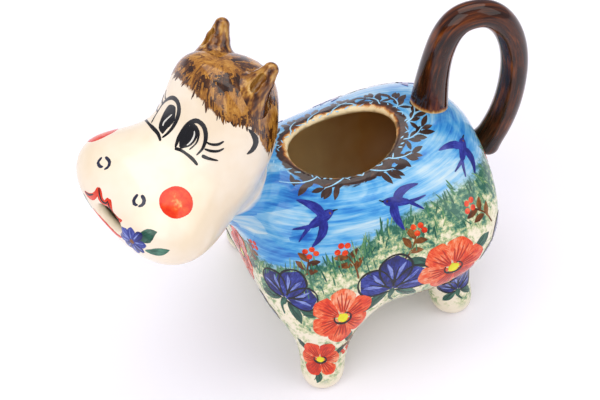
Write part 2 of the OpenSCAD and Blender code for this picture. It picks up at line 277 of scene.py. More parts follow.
def net(form, low, high, cell, coarse=3):
    """A closed mesh of quads round a form, with its points settled on the surface."""
    low = np.array(low, float)
    n = (np.ceil((np.array(high) - low) / cell / coarse).astype(int)) * coarse
    block = np.stack(np.meshgrid(*[np.arange(m // coarse) for m in n], indexing="ij"), -1).reshape(-1, 3)
    rough = form(low + (block + 0.5) * coarse * cell)
    near = np.abs(rough) < coarse * cell * NEAR_BLOCK
    value = np.ones(n + 1, np.float32)
    value[:-1, :-1, :-1] = np.kron(rough.reshape(n // coarse), np.ones((coarse, coarse, coarse)))
    need = np.zeros(n + 1, bool)
    steps = np.stack(np.meshgrid(*[np.arange(coarse + 1)] * 3, indexing="ij"), -1).reshape(-1, 3)
    for s in steps:
        at = block[near] * coarse + s
        need[at[:, 0], at[:, 1], at[:, 2]] = True
    value[need] = form(low + np.argwhere(need) * cell)
    within = value < 0
    corners = np.stack(np.meshgrid(*[np.arange(2)] * 3, indexing="ij"), -1).reshape(-1, 3)
    count = sum(within[i:n[0] + i, j:n[1] + j, k:n[2] + k].astype(int) for i, j, k in corners)
    cells = np.argwhere((count > 0) & (count < 8))
    number = np.full(n, -1)
    number[tuple(cells.T)] = np.arange(len(cells))
    total, crossings = np.zeros((len(cells), 3)), np.zeros(len(cells))
    for a in corners:
        for axis in range(3):
            if a[axis]:
                continue
            b = a + np.eye(3, dtype=int)[axis]
            fa, fb = value[tuple((cells + a).T)], value[tuple((cells + b).T)]
            cross = (fa < 0) != (fb < 0)
            t = np.where(cross, fa / np.where(cross, fa - fb, 1), 0)
            total += np.where(cross[:, None], a + t[:, None] * (b - a), 0)
            crossings += cross
    points = low + (cells + total / crossings[:, None]) * cell
    quads = []
    for axis in range(3):
        step, o1, o2 = (np.eye(3, dtype=int)[(axis + turn) % 3] for turn in range(3))
        end = n + 1 - step
        a, b = within[:end[0], :end[1], :end[2]], within[step[0]:, step[1]:, step[2]:]
        edge = np.argwhere(a != b)
        edge = edge[((edge > 0) & (edge < n) | (step > 0)).all(1)]
        quad = np.stack([number[tuple((edge - s).T)] for s in (o1 + o2, o2, 0 * o1, o1)], 1)
        flip = ~a[tuple(edge.T)]
        quad[flip] = quad[flip][:, ::-1]
        quads.append(quad)
    return settle(form, points), np.concatenate(quads)


# Making meshes, and taking them over from geometry node trees

def in_metres(points):
    return (np.asarray(points, float) + (STAND_X, 0, 0)) * MM


def in_millimetres(points):
    return np.asarray(points, float) / MM - (STAND_X, 0, 0)


def normals_of(form, points):
    slope = slope_of(form, points, form(points))
    return slope / np.linalg.norm(slope, axis=1)[:, None]


def placed(name, data):
    obj = bpy.data.objects.new(name, data)
    bpy.context.collection.objects.link(obj)
    return obj


def piece(name, points, faces, material=None, normals=None):
    mesh = bpy.data.meshes.new(name)
    mesh.from_pydata(in_metres(points).tolist(), [], faces if isinstance(faces, list) else faces.tolist())
    mesh.shade_smooth()
    if normals is not None:
        mesh.normals_split_custom_set_from_vertices(normals)
    if material:
        mesh.materials.append(material)
    return placed(name, mesh)


def keep(obj, name, values):
    """Stores one number, or one vector, for each point."""
    values = np.asarray(values, np.float32)
    kind, field = ("FLOAT_VECTOR", "vector") if values.ndim == 2 else ("FLOAT", "value")
    stored = obj.data.attributes.get(name) or obj.data.attributes.new(name, kind, "POINT")
    stored.data.foreach_set(field, values.ravel())


def kept(obj, name, field="vector", width=3):
    """Reads back what is stored for each point."""
    flat = np.empty(len(obj.data.vertices) * width, np.float32)
    obj.data.attributes[name].data.foreach_get(field, flat)
    return flat.reshape(-1, width)


def part_of(obj, node=None):
    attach(obj, "root")
    if node:
        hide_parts(node)
    return obj


def parted(points, quads, place, direction, name):
    """The part of a mesh on the far side of a plane, closed where the plane cuts the wall."""
    mesh = bpy.data.meshes.new(name)
    mesh.from_pydata(points.tolist(), [], quads.tolist())
    cut = bmesh.new()
    cut.from_mesh(mesh)
    bmesh.ops.bisect_plane(cut, geom=cut.verts[:] + cut.edges[:] + cut.faces[:], dist=1e-4,
                           plane_co=place, plane_no=direction, clear_inner=True)
    bmesh.ops.bridge_loops(cut, edges=[e for e in cut.edges if e.is_boundary])
    bmesh.ops.triangulate(cut, faces=[f for f in cut.faces if len(f.verts) > 4])
    cut.verts.index_update()
    out = np.array([v.co[:] for v in cut.verts]), [[v.index for v in f.verts] for f in cut.faces]
    cut.free()
    bpy.data.meshes.remove(mesh)
    return out


def linear(hex_colour):
    """An sRGB hex colour as linear red, green, blue and alpha."""
    parts = [int(hex_colour[i:i + 2], 16) / 255 for i in (1, 3, 5)]
    return [c / 12.92 if c <= 0.04045 else ((c + 0.055) / 1.055)**2.4 for c in parts] + [1.0]


def feed(tree, node, inputs):
    """Sets each input to a value, or links it to a socket or to another node's first output in use."""
    for key, value in inputs.items():
        if isinstance(value, bpy.types.Node):
            value = next(socket for socket in value.outputs if socket.enabled)
        if isinstance(value, bpy.types.NodeSocket):
            tree.links.new(value, node.inputs[key])
        else:
            node.inputs[key].default_value = value


def add(tree, kind, inputs=None, stops=None, **settings):
    """A node with its settings, its inputs and, for a ramp, its colour stops."""
    node = tree.nodes.new(kind)
    for name, value in settings.items():
        setattr(node, name, value)
    feed(tree, node, inputs or {})
    if stops:
        places = node.color_ramp.elements
        while len(places) < len(stops):
            places.new(1.0)
        for place, (position, colour) in zip(places, stops):
            place.position, place.color = position, linear(colour)
    return node


def node_group(name, inputs):
    """A geometry node tree with named inputs, and its first and last nodes."""
    tree = bpy.data.node_groups.new(name, "GeometryNodeTree")
    for title, kind, value in [("Geometry", "NodeSocketGeometry", None)] + inputs:
        socket = tree.interface.new_socket(name=title, in_out="INPUT", socket_type=kind)
        if value is not None:
            socket.default_value = value
    tree.interface.new_socket(name="Geometry", in_out="OUTPUT", socket_type="NodeSocketGeometry")
    return tree, add(tree, "NodeGroupInput").outputs, add(tree, "NodeGroupOutput")


def grown(name, base, tree, values, material):
    """What a geometry node tree makes of a base object, as a plain mesh of its own."""
    modifier = base.modifiers.new(tree.name, "NODES")
    modifier.node_group = tree
    for item in tree.interface.items_tree:
        if item.in_out == "INPUT" and item.name in values:
            modifier[item.identifier] = values[item.name]
    graph = bpy.context.evaluated_depsgraph_get()
    mesh = bpy.data.meshes.new_from_object(base.evaluated_get(graph))
    base.modifiers.remove(modifier)
    bpy.data.objects.remove(base)
    mesh.name = name
    mesh.shade_smooth()
    mesh.materials.clear()
    mesh.materials.append(material)
    return placed(name, mesh)


# Glazes. The ware is stoneware under a clear glaze: glass melted on clay, with an IOR near 1.5
# and a wet, even gloss that is a little wavy where the hand and the brush left it thicker.
# A Mix node takes its share as input 0 and its two colours as inputs 6 and 7.

PER_MM = (1 / MM, 1 / MM, 1 / MM)
CREAM = "#F8ECD8"


def glazed(name, roughness, wave_mm=7.0, wave=0.16):
    """A plain gloss with waves of a real size: the material, its tree, its shader and the place in metres."""
    material = bpy.data.materials.new(name)
    material.use_nodes = True
    tree = material.node_tree
    shader = tree.nodes["Principled BSDF"]
    place = add(tree, "ShaderNodeTexCoord").outputs["Object"]
    swell = add(tree, "ShaderNodeTexNoise", {"Vector": place, "Scale": 1 / (wave_mm * MM), "Detail": 1.5})
    bump = add(tree, "ShaderNodeBump", {"Height": swell, "Strength": wave, "Distance": 0.6 * MM})
    feed(tree, shader, {"IOR": 1.5, "Roughness": roughness, "Normal": bump})
    return material, tree, shader, place


def mottled(tree, vector, size_mm, detail=4.0, rough=0.55, twist=0.0, scale=PER_MM):
    """Uneven thickness of a colour: noise with a real size, stretched by the given scale."""
    stretched = add(tree, "ShaderNodeVectorMath", {0: vector, 1: scale}, operation="MULTIPLY")
    return add(tree, "ShaderNodeTexNoise", {"Vector": stretched, "Scale": 1 / size_mm, "Detail": detail,
                                            "Roughness": rough, "Distortion": twist})


def brushed_colour(name, stops, along=0.16, size_mm=0.45):
    """A colour laid on with a brush: its hairs leave streaks along the stroke, paler where it is thin."""
    material, tree, shader, place = glazed(name, 0.12)
    stroke = add(tree, "ShaderNodeAttribute", attribute_name="stroke").outputs["Vector"]
    tone = add(tree, "ShaderNodeAttribute", attribute_name="tone").outputs["Fac"]
    streak = mottled(tree, stroke, size_mm, 3.0, 0.6, scale=(1, along, 1))
    pool = mottled(tree, place, 3.5, 2.0)
    both = add(tree, "ShaderNodeMath", {0: streak, 1: pool}, operation="ADD")
    thin = add(tree, "ShaderNodeMath", {0: both, 1: 0.5, 2: tone}, operation="MULTIPLY_ADD")
    feed(tree, shader, {"Base Color": add(tree, "ShaderNodeValToRGB", {"Fac": thin}, stops)})
    return material


# Iron black and cobalt line colours go on thick, so they are nearly even
BLACK = brushed_colour("black_underglaze", [(0.3, "#06070A"), (0.55, "#0B0C11"), (0.75, "#191B22")])
SLATE = brushed_colour("slate_underglaze", [(0.3, "#1E2132"), (0.55, "#2C2F46"), (0.75, "#53566E")])
# Red and yellow stains stay a little watery, so the ground shows through as paler streaks
RED = brushed_colour("red_underglaze", [(0.34, "#B42204"), (0.45, "#DC3008"), (0.53, "#E84816"),
                                        (0.61, "#EF713C"), (0.74, "#F5B08C")])
LIP = brushed_colour("lip_red_underglaze", [(0.3, "#CF2C12"), (0.55, "#E43E20"), (0.8, "#F07355")])
YELLOW = brushed_colour("yellow_underglaze", [(0.3, "#D8CF10"), (0.6, "#EEE71A")])
# Cobalt turns from navy to a milky blue where it thins, and the greens do the same
BLUE = brushed_colour("cobalt_underglaze", [(0.36, "#10154C"), (0.46, "#182172"), (0.54, "#263490"),
                                            (0.63, "#4453AC"), (0.77, "#8494D4")])
VIOLET = brushed_colour("violet_blue_underglaze", [(0.36, "#161C6C"), (0.5, "#202788"), (0.64, "#3744A6"),
                                                   (0.8, "#5C6CC2")])
LEAF = brushed_colour("leaf_green_underglaze", [(0.3, "#163C32"), (0.5, "#295A49"), (0.7, "#4F8770"),
                                                (0.85, "#84AE98")])
GRASS = brushed_colour("grass_green_underglaze", [(0.3, "#1B4A3E"), (0.5, "#2F6650"), (0.65, "#558A5C"),
                                                  (0.85, "#9DB57A")])
# Iron and manganese browns break to rust or grey where the brush was dry
BROWN = brushed_colour("brown_underglaze", [(0.3, "#371A0B"), (0.46, "#5C3010"), (0.58, "#834C1B"),
                                            (0.76, "#AF7A3C")])
BARK = brushed_colour("manganese_underglaze", [(0.3, "#281A15"), (0.5, "#3A2720"), (0.66, "#4C352B"),
                                               (0.82, "#6A4B3A")])
HAIR = brushed_colour("amber_brown_glaze", [(0.2, "#2A160C"), (0.38, "#5A3416"), (0.5, "#8A5720"),
                                            (0.62, "#B37A2E"), (0.8, "#CF9C4C")], along=0.1, size_mm=0.35)
# A pale grey-white for the painted highlight on each pupil, and lines left bare when the colour was laid
# round them
PAINTED_HIGHLIGHT = brushed_colour("painted_highlight_grey", [(0.3, "#B9BFC6"), (0.6, "#E9E6DC")])
RESERVE = brushed_colour("pale_blue_reserve", [(0.3, "#7CC0EA"), (0.6, "#A5D8F3"), (0.8, "#C5E8F6")])


def cheek_colour():
    """Red sponged on in a disc: full at the edge, and paler and blotched inside."""
    material, tree, shader, place = glazed("cheek_red_underglaze", 0.12)
    edge = add(tree, "ShaderNodeAttribute", attribute_name="edge").outputs["Fac"]
    blot = mottled(tree, place, 2.6, 3.0, 0.6)
    mixed = add(tree, "ShaderNodeMath", {0: edge, 1: 0.42, 2: blot}, operation="MULTIPLY_ADD")
    red = add(tree, "ShaderNodeValToRGB", {"Fac": mixed},
              [(0.38, "#F8B676"), (0.49, "#F58A46"), (0.61, "#EC4E16"), (0.92, "#DE2800")])
    feed(tree, shader, {"Base Color": red})
    return material


def head_colour():
    """Cream glaze that warms where it is thick, with the first amber coat of the hair over the crown."""
    material, tree, shader, place = glazed("cream_stoneware_glaze", 0.17)
    covered, hidden = (add(tree, "ShaderNodeAttribute", attribute_name=name).outputs["Fac"]
                       for name in ("hair", "inner"))
    cream = add(tree, "ShaderNodeValToRGB", {"Fac": mottled(tree, place, 22, 3.0)},
                [(0.35, "#F2E0C3"), (0.5, "#F6E7CF"), (0.65, CREAM)])
    streak = mottled(tree, place, 1.4, 5.0, 0.7, 0.6)
    patch = mottled(tree, place, 6.5, 2.0, 0.5, 0.8)
    thick = add(tree, "ShaderNodeMath", {0: streak, 1: patch}, operation="ADD")
    half = add(tree, "ShaderNodeMath", {0: thick, 1: 0.5}, operation="MULTIPLY")
    amber = add(tree, "ShaderNodeValToRGB", {"Fac": half},
                [(0.36, "#34190C"), (0.46, "#6E421A"), (0.53, "#9A6526"), (0.64, "#C08A3E")])
    ragged = add(tree, "ShaderNodeMath", {0: streak, 1: 3.0, 2: covered}, operation="MULTIPLY_ADD")
    edge = add(tree, "ShaderNodeMapRange", {"Value": ragged, "From Min": 1.2, "From Max": 1.9})
    skin = add(tree, "ShaderNodeMix", {0: edge, 6: cream, 7: amber}, data_type="RGBA")
    both = add(tree, "ShaderNodeMix", {0: hidden, 6: skin, 7: linear("#F0E2C2")}, data_type="RGBA")
    feed(tree, shader, {"Base Color": both})
    return material


def sky_colour(tree, around, wash, grass, throat):
    """Blue from a brush about 12 mm wide, whose hairs leave streaks of 1 to 2 mm round the trunk."""
    streak = mottled(tree, around, 1.7, 5.0, 0.66, 0.35, scale=(0.07, 0.07, 1))
    pale, misty, chest = (
        add(tree, "ShaderNodeMapRange", {"Value": value, "From Min": start, "From Max": end, "To Max": most})
        for value, start, end, most in ((grass, 16, 0, 0.13), (throat, 22, 2, 0.16), (throat, 42, 24, 0.22)))
    streaked = add(tree, "ShaderNodeMath", {0: streak, 1: 0.56, 2: pale}, operation="MULTIPLY_ADD")
    washed = add(tree, "ShaderNodeMath", {0: wash, 1: 0.6, 2: streaked}, operation="MULTIPLY_ADD")
    # Below the throat the washes overlap in broad dabs, about 10 mm across, with their own edges
    bent = add(tree, "ShaderNodeVectorMath", {0: around, 1: (0.6, 0.6, 1)}, operation="MULTIPLY")
    dab = add(tree, "ShaderNodeTexVoronoi", {"Vector": bent, "Scale": 1 / 10, "Randomness": 1.0})
    shade = add(tree, "ShaderNodeSeparateXYZ", {0: dab.outputs["Color"]}).outputs["X"]
    veiled = add(tree, "ShaderNodeMath", {0: shade, 1: chest, 2: misty}, operation="MULTIPLY_ADD")
    lowered = add(tree, "ShaderNodeMath", {0: chest, 1: -0.55, 2: veiled}, operation="MULTIPLY_ADD")
    depth_of_blue = add(tree, "ShaderNodeMath", {0: washed, 1: lowered}, operation="ADD")
    return add(tree, "ShaderNodeValToRGB", {"Fac": depth_of_blue},
               [(0.43, "#1A60B6"), (0.52, "#3084CE"), (0.6, "#50A2DA"), (0.68, "#7CBAE0"), (0.78, "#AACFE4"),
                (0.92, "#DAE6E2")])


def sponged_colour(tree, place, dabs, grass):
    """Green from a natural sponge, in dabs of 1 to 3 mm on cream, thicker towards the grass line."""
    clumps = mottled(tree, place, 9, 2.0)
    near_line = add(tree, "ShaderNodeMapRange", {"Value": grass, "From Min": -18.0, "From Max": -2.0,
                                                 "To Min": 0.1, "To Max": -0.06})
    dabbed_on = add(tree, "ShaderNodeMath", {0: dabs, 1: 0.75, 2: near_line}, operation="MULTIPLY_ADD")
    clumped = add(tree, "ShaderNodeMath", {0: clumps, 1: 0.45, 2: dabbed_on}, operation="MULTIPLY_ADD")
    return add(tree, "ShaderNodeValToRGB", {"Fac": clumped}, [
        (0.49, "#2C6453"), (0.56, "#639275"), (0.62, "#A9BA86"), (0.67, "#DAD9B0"), (0.75, "#F5EBD2")])


def rim_colour(tree, place, around, dabs, mouth, sideways, ground):
    """The brown band round the mouth, thin and rust coloured on the lip's edge where the glaze runs off; as
    painted light, the pale edge is broader on the far lip and darker on the near lip.
    """
    dry = mottled(tree, around, 1.6, 4.0, 0.6, scale=(0.2, 0.2, 1))
    brown = add(tree, "ShaderNodeValToRGB", {"Fac": dry},
                [(0.35, "#2C1B15"), (0.55, "#422B22"), (0.75, "#664430")])
    outer = add(tree, "ShaderNodeMath", {0: dry, 1: 3.0, 2: mouth}, operation="MULTIPLY_ADD")
    band = add(tree, "ShaderNodeMapRange", {"Value": outer, "From Min": 6.6, "From Max": 6.2})
    banded = add(tree, "ShaderNodeMix", {0: band, 6: ground, 7: brown}, data_type="RGBA")
    wander = mottled(tree, place, 5.5, 2.0)
    ragged = add(tree, "ShaderNodeMath", {0: dabs, 1: 2.6, 2: mouth}, operation="MULTIPLY_ADD")
    uneven = add(tree, "ShaderNodeMath", {0: wander, 1: 4.0, 2: ragged}, operation="MULTIPLY_ADD")
    # painted light: the lip's pale edge grows broader towards the far side, whose inner wall faces the lamps,
    # and darker towards the near side
    far_lip_painted_light = add(tree, "ShaderNodeMapRange", {"Value": sideways["Y"], "From Min": 0.01, "From Max": -0.012,
                                                "To Min": 0.9, "To Max": -1.3})
    run_off_and_lit_lip = add(tree, "ShaderNodeMath", {0: uneven, 1: far_lip_painted_light}, operation="ADD")
    worn = add(tree, "ShaderNodeMapRange", {"Value": run_off_and_lit_lip, "From Min": 1.6, "From Max": 5.6})
    edge = add(tree, "ShaderNodeValToRGB", {"Fac": worn}, [
        (0.0, "#EFDCB0"), (0.5, "#EED8AA"), (0.64, "#CF9246"), (0.76, "#93501B"), (0.88, "#562F1C")])
    lip = add(tree, "ShaderNodeMapRange", {"Value": run_off_and_lit_lip, "From Min": 5.5, "From Max": 5.1})
    return add(tree, "ShaderNodeMix", {0: lip, 6: banded, 7: edge}, data_type="RGBA")


def body_colour():
    """Sky over sponged grass on cream, a brown mouth rim, and inside a duller glaze with painted shade, brown
    towards the rump.
    """
    material, tree, shader, place = glazed("painted_stoneware_glaze", 0.1)
    around = add(tree, "ShaderNodeAttribute", attribute_name="around").outputs["Vector"]
    grass, mouth, throat, hidden, height = (
        add(tree, "ShaderNodeAttribute", attribute_name=name).outputs["Fac"]
        for name in ("above_grass", "from_mouth", "from_neck", "inner", "height"))
    sideways = add(tree, "ShaderNodeSeparateXYZ", {0: place}).outputs
    wash = mottled(tree, around, 12, 3.0, 0.55, 1.2, scale=(0.5, 0.5, 1))
    dabs = mottled(tree, place, 1.9, 6.0, 0.66)
    line = add(tree, "ShaderNodeMath", {0: dabs, 1: 9.0, 2: grass}, operation="MULTIPLY_ADD")
    meet = add(tree, "ShaderNodeMapRange", {"Value": line, "From Min": 5.6, "From Max": 3.2})
    meadow = add(tree, "ShaderNodeMix", {0: meet, 6: sky_colour(tree, around, wash, grass, throat),
                                         7: sponged_colour(tree, place, dabs, grass)}, data_type="RGBA")

    # The soles and the throat stay bare cream
    sole = add(tree, "ShaderNodeMath", {0: dabs, 1: 12.0, 2: height}, operation="MULTIPLY_ADD")
    bare = add(tree, "ShaderNodeMapRange", {"Value": sole, "From Min": 12.5, "From Max": 8.5})
    footed = add(tree, "ShaderNodeMix", {0: bare, 6: meadow, 7: linear("#F6EBD3")}, data_type="RGBA")
    washed = add(tree, "ShaderNodeMath", {0: wash, 1: 7.0, 2: throat}, operation="MULTIPLY_ADD")
    cream = add(tree, "ShaderNodeMapRange", {"Value": washed, "From Min": 6.6, "From Max": 3.6})
    necked = add(tree, "ShaderNodeMix", {0: cream, 6: footed, 7: linear(CREAM)}, data_type="RGBA")
    lipped = rim_colour(tree, place, around, dabs, mouth, sideways, necked)

    # Inside, painted shade and light: the cream glaze is painted dark brown towards the rump and pale towards
    # the front, where light comes in through the mouth
    painted_shade_to_rump = add(tree, "ShaderNodeMapRange", {"Value": sideways["X"], "From Min": -0.058, "From Max": -0.01})
    cloud = add(tree, "ShaderNodeMath", {0: mottled(tree, place, 14, 2.0), 1: 0.3, 2: painted_shade_to_rump},
                operation="MULTIPLY_ADD")
    inside_glaze_and_painted_shade = add(tree, "ShaderNodeValToRGB", {"Fac": cloud},
                       [(0.15, "#93602A"), (0.55, "#CC9A55"), (0.95, "#F8E2AE")])
    both = add(tree, "ShaderNodeMix", {0: hidden, 6: lipped, 7: inside_glaze_and_painted_shade}, data_type="RGBA")
    duller = add(tree, "ShaderNodeMapRange", {"Value": hidden, "To Min": 0.1, "To Max": 0.5})
    feed(tree, shader, {"Base Color": both, "Roughness": duller})
    return material


def handle_colour():
    """Thick manganese brown glaze that breaks to rust on the edges and runs in streaks along the roll."""
    material, tree, shader, _ = glazed("dark_brown_glaze", 0.07, 9.0, 0.22)
    ring = add(tree, "ShaderNodeAttribute", attribute_name="ring").outputs["Vector"]
    seam = add(tree, "ShaderNodeAttribute", attribute_name="off_body").outputs["Fac"]
    run = mottled(tree, ring, 1.1, 4.0, 0.6, 0.5, scale=(1, 1, 0.09))
    cloud = mottled(tree, ring, 5.5, 2.0, scale=(1, 1, 0.35))
    both = add(tree, "ShaderNodeMath", {0: run, 1: cloud}, operation="ADD")
    half = add(tree, "ShaderNodeMath", {0: both, 1: 0.5}, operation="MULTIPLY")
    brown = add(tree, "ShaderNodeValToRGB", {"Fac": half}, [
        (0.36, "#1A0C08"), (0.47, "#32170C"), (0.55, "#502610"), (0.62, "#783C14"), (0.72, "#A05C20")])

    # At the roots the glaze runs thin over the seam: rust, then a line of bare cream
    ragged = add(tree, "ShaderNodeMath", {0: run, 1: 2.6, 2: seam}, operation="MULTIPLY_ADD")
    near = add(tree, "ShaderNodeMapRange", {"Value": ragged, "From Min": 1.0, "From Max": 3.8})
    worn = add(tree, "ShaderNodeValToRGB", {"Fac": near}, [
        (0.0, "#EAD2A0"), (0.3, "#DDA85C"), (0.5, "#A8622A"), (0.8, "#5A2C14"), (1.0, "#2E160C")])
    thin = add(tree, "ShaderNodeMapRange", {"Value": ragged, "From Min": 3.7, "From Max": 2.6})
    glaze = add(tree, "ShaderNodeMix", {0: thin, 6: brown, 7: worn}, data_type="RGBA")
    feed(tree, shader, {"Base Color": glaze, "Specular IOR Level": 0.36})
    return material


def ear_colour():
    """Amber glaze with dark streaks that run from the tip to the root."""
    material, tree, shader, _ = glazed("ear_amber_glaze", 0.09, wave=0.14)
    along = add(tree, "ShaderNodeAttribute", attribute_name="ring").outputs["Vector"]
    # the tone read here is paler down the middle of the ear's front and darker along its sides and back
    hollow = add(tree, "ShaderNodeAttribute", attribute_name="tone").outputs["Fac"]
    run = mottled(tree, along, 1.9, 2.5, 0.5, 0.1, scale=(1, 1, 0.07))
    toned = add(tree, "ShaderNodeMath", {0: run, 1: hollow}, operation="ADD")
    amber = add(tree, "ShaderNodeValToRGB", {"Fac": toned}, [
        (0.3, "#2A150B"), (0.42, "#573015"), (0.52, "#8A5823"), (0.62, "#B58238"), (0.74, "#D2A862")])
    feed(tree, shader, {"Base Color": amber})
    return material


HEAD_GLAZE, BODY_GLAZE, HANDLE_GLAZE, EAR_GLAZE = head_colour(), body_colour(), handle_colour(), ear_colour()
CHEEK = cheek_colour()


# The two hollow castings, cut apart where the throat is luted to the chest

NECK_CUT = np.array([50.5, 0.0, 84.0])
NECK_UP = np.array([0.42, 0.0, 0.91])
RIM_FROM_Z, FAR_FROM_MOUTH, CHEST_X, CHEST_FALL = 70, 40, 46, 0.9
GRASS_LINE = smooth_curve((-56, -40, -20, 0, 15, 30, 45, 56), (70, 74, 74, 71, 66, 61, 58, 56))
FRINGE = smooth_curve((-30, -12, -3, 2, 9, 14.5, 17.5, 19.5, 21, 40),
                      (-5, -4.6, -4.1, -4, -4.5, -3.1, -1.2, 1.4, 3.1, 3.2))
NAPE = smooth_curve((-40, -26, -17, -10, -4, 10), (-17, -13, -9, -7, -5, -5))

CLAY_LOW, CLAY_HIGH, CLAY_CELL = (-60, -52, -4), (116, 52, 152), 1.1
all_points, all_quads = net(clay, CLAY_LOW, CLAY_HIGH, CLAY_CELL)


INNER_FROM, INNER_FADE = 0.6, 2.2


def wall_share(points):
    """0 on the skin and 1 on the inner side of the wall, from how deep a point lies under the skin."""
    return np.clip((-outside(points) - INNER_FROM) / INNER_FADE, 0, 1)


def hair_share(points):
    """How far a place lies behind the hair's ragged front edge, in millimetres."""
    u, _, w = in_head(points).T
    return np.minimum(np.interp(w, *FRINGE) - u, w - np.interp(u, *NAPE))


BAND_R, BAND_NARROW, BAND_FALL = 45, 0.7, 0.75


def round_trunk(points):
    """Places on a band round the trunk: a brush that circles it keeps its height."""
    x, y, z = BAND_NARROW * (points[:, 0] - MOUTH_X / 2), points[:, 1], points[:, 2]
    far = np.hypot(x, y) + 1e-6
    return np.stack([BAND_R * x / far, BAND_R * y / far, z - BAND_FALL * far], 1)


def casting(name, node, way, material, marks):
    """The wall on one side of the neck seam, with what its glaze reads stored on its points."""
    points, faces = parted(all_points, all_quads, NECK_CUT, NECK_UP * way, name)
    obj = piece(name, points, faces, material, normals_of(clay, points))
    keep(obj, "inner", wall_share(points))
    for mark, values in marks(points).items():
        keep(obj, mark, values)
    part_of(obj, node)


def body_marks(points):
    x, _, z = points.T
    return {"around": round_trunk(points),
            "above_grass": z - np.interp(x, *GRASS_LINE),
            "from_mouth": np.where(z > RIM_FROM_Z, beyond_mouth(points), FAR_FROM_MOUTH),
            "from_neck": (NECK_CUT - points) @ NECK_UP + np.maximum(0, CHEST_X - x) * CHEST_FALL,
            "height": z}


def head_marks(points):
    return {"hair": hair_share(points)}


casting("painted_trunk_and_legs", "body_casting", -1, BODY_GLAZE, body_marks)
casting("cream_head", "head_casting", 1, HEAD_GLAZE, head_marks)


# Ears: small curled horns, hollowed on the front and smoothed into the crown

EAR_L, EAR_R, EAR_SPAN, EAR_RISE = 25.0, 7.6, 29.0, 0.67
EAR_ROOT = np.array([-0.05 * HEAD_L, 0.222 * MUZZLE_W / 2, 0.112 * BROW_H])
EAR_RADII = EAR_R * np.array([1, 0.96, 0.88, 0.76, 0.6, 0.37])
EAR_OUT = EAR_SPAN / 2 - EAR_ROOT[1]
EAR_BACK = math.sqrt(EAR_L**2 * (1 - EAR_RISE**2) - EAR_OUT**2)
EAR_SCOOP, EAR_CELL, EAR_EDGE_R, EAR_BLEND = (1.36, 0, -0.14), 0.55, 1.6, 5.0
# The blend into the crown lies a little under the head's skin, and ends at a reach and a depth
EAR_UNDER, EAR_SKIRT_R, EAR_SUNK, BOX_GAP = 0.7, 24, 2.2, 1.2


def ear_places(side):
    k = np.linspace(0, 1, 6)
    u = EAR_ROOT[0] - EAR_BACK * k**1.3
    return np.stack([u, side * (EAR_ROOT[1] + EAR_OUT * k), EAR_ROOT[2] + EAR_RISE * EAR_L * k], 1)


def ear(side, name, node):
    at = ear_places(side)
    balls = out_of_head(at)
    hollow = out_of_head(at + np.outer(EAR_RADII, EAR_SCOOP))
    low, high = balls.min(0) - 11, balls.max(0) + 9

    def form(p):
        f = smooth_max(rods(p, balls, EAR_RADII), -rods(p, hollow[1:], EAR_RADII[1:] / 2), EAR_EDGE_R)
        skin = depth(skull, p)
        f = smooth_min(f, skin + EAR_UNDER, EAR_BLEND)
        f = np.maximum(f, np.linalg.norm(p - balls[1], axis=1) - EAR_SKIRT_R)
        f = np.maximum(f, -skin - EAR_SUNK)
        return np.maximum(f, np.maximum(low - p, p - high).max(1) + BOX_GAP)

    points, quads = net(form, low, high, EAR_CELL)
    obj = piece(name, points, quads, EAR_GLAZE, normals_of(form, points))
    way = (at[-1] - at[0]) / np.linalg.norm(at[-1] - at[0])
    ahead = np.cross(np.cross(way, (1, 0, 0)), way)
    ahead /= np.linalg.norm(ahead)
    off = in_head(points) - at[0]
    far, fore, aside = off @ way, off @ ahead, off @ np.cross(way, ahead)
    thick = np.interp(far, np.linspace(0, far.max(), 6), EAR_RADII)
    share = np.abs(aside) / thick
    paler, darker = 0.1 * (fore > 0) * (1 - np.clip(share, 0, 1)), 0.07 * np.clip(share - 0.35, 0, 1)
    keep(obj, "ring", np.stack([fore, aside, far], 1))
    keep(obj, "tone", paler - darker - 0.05 * (fore < -0.5 * thick))
    part_of(obj, node)


ear(1, "left_ear_horn", "left_ear")
ear(-1, "right_ear_horn", "right_ear")


# Tail handle: one roll of clay on a looped path, spread where it is pressed on at its roots

TAIL_ROOT_R, TAIL_MID_R, LOOP_TOP_H = 5.8, 5.2, 130.5
TAIL_FRONT_X, LOOP_TOP_X, LOOP_BACK_X, LOOP_SWAY, TAIL_ASIDE = 31.0, 45.5, 63.0, 4.0, 4.0
LOOP_BACK_RISE, LOOP_BULGE, TAIL_UPRIGHT, BEND_PLACES = 0.57, 0.55, 0.9, 90
ROOT_FROM, ROOT_FLARE, THUMB_L = 0.76, 0.35, 4.5  # where a root starts to spread, how much, its worn end


def bezier(a, b, c, d):
    t = np.linspace(0, 1, BEND_PLACES, endpoint=False)[:, None]
    return (1 - t)**3 * a + 3 * (1 - t)**2 * t * b + 3 * (1 - t) * t**2 * c + t**3 * d


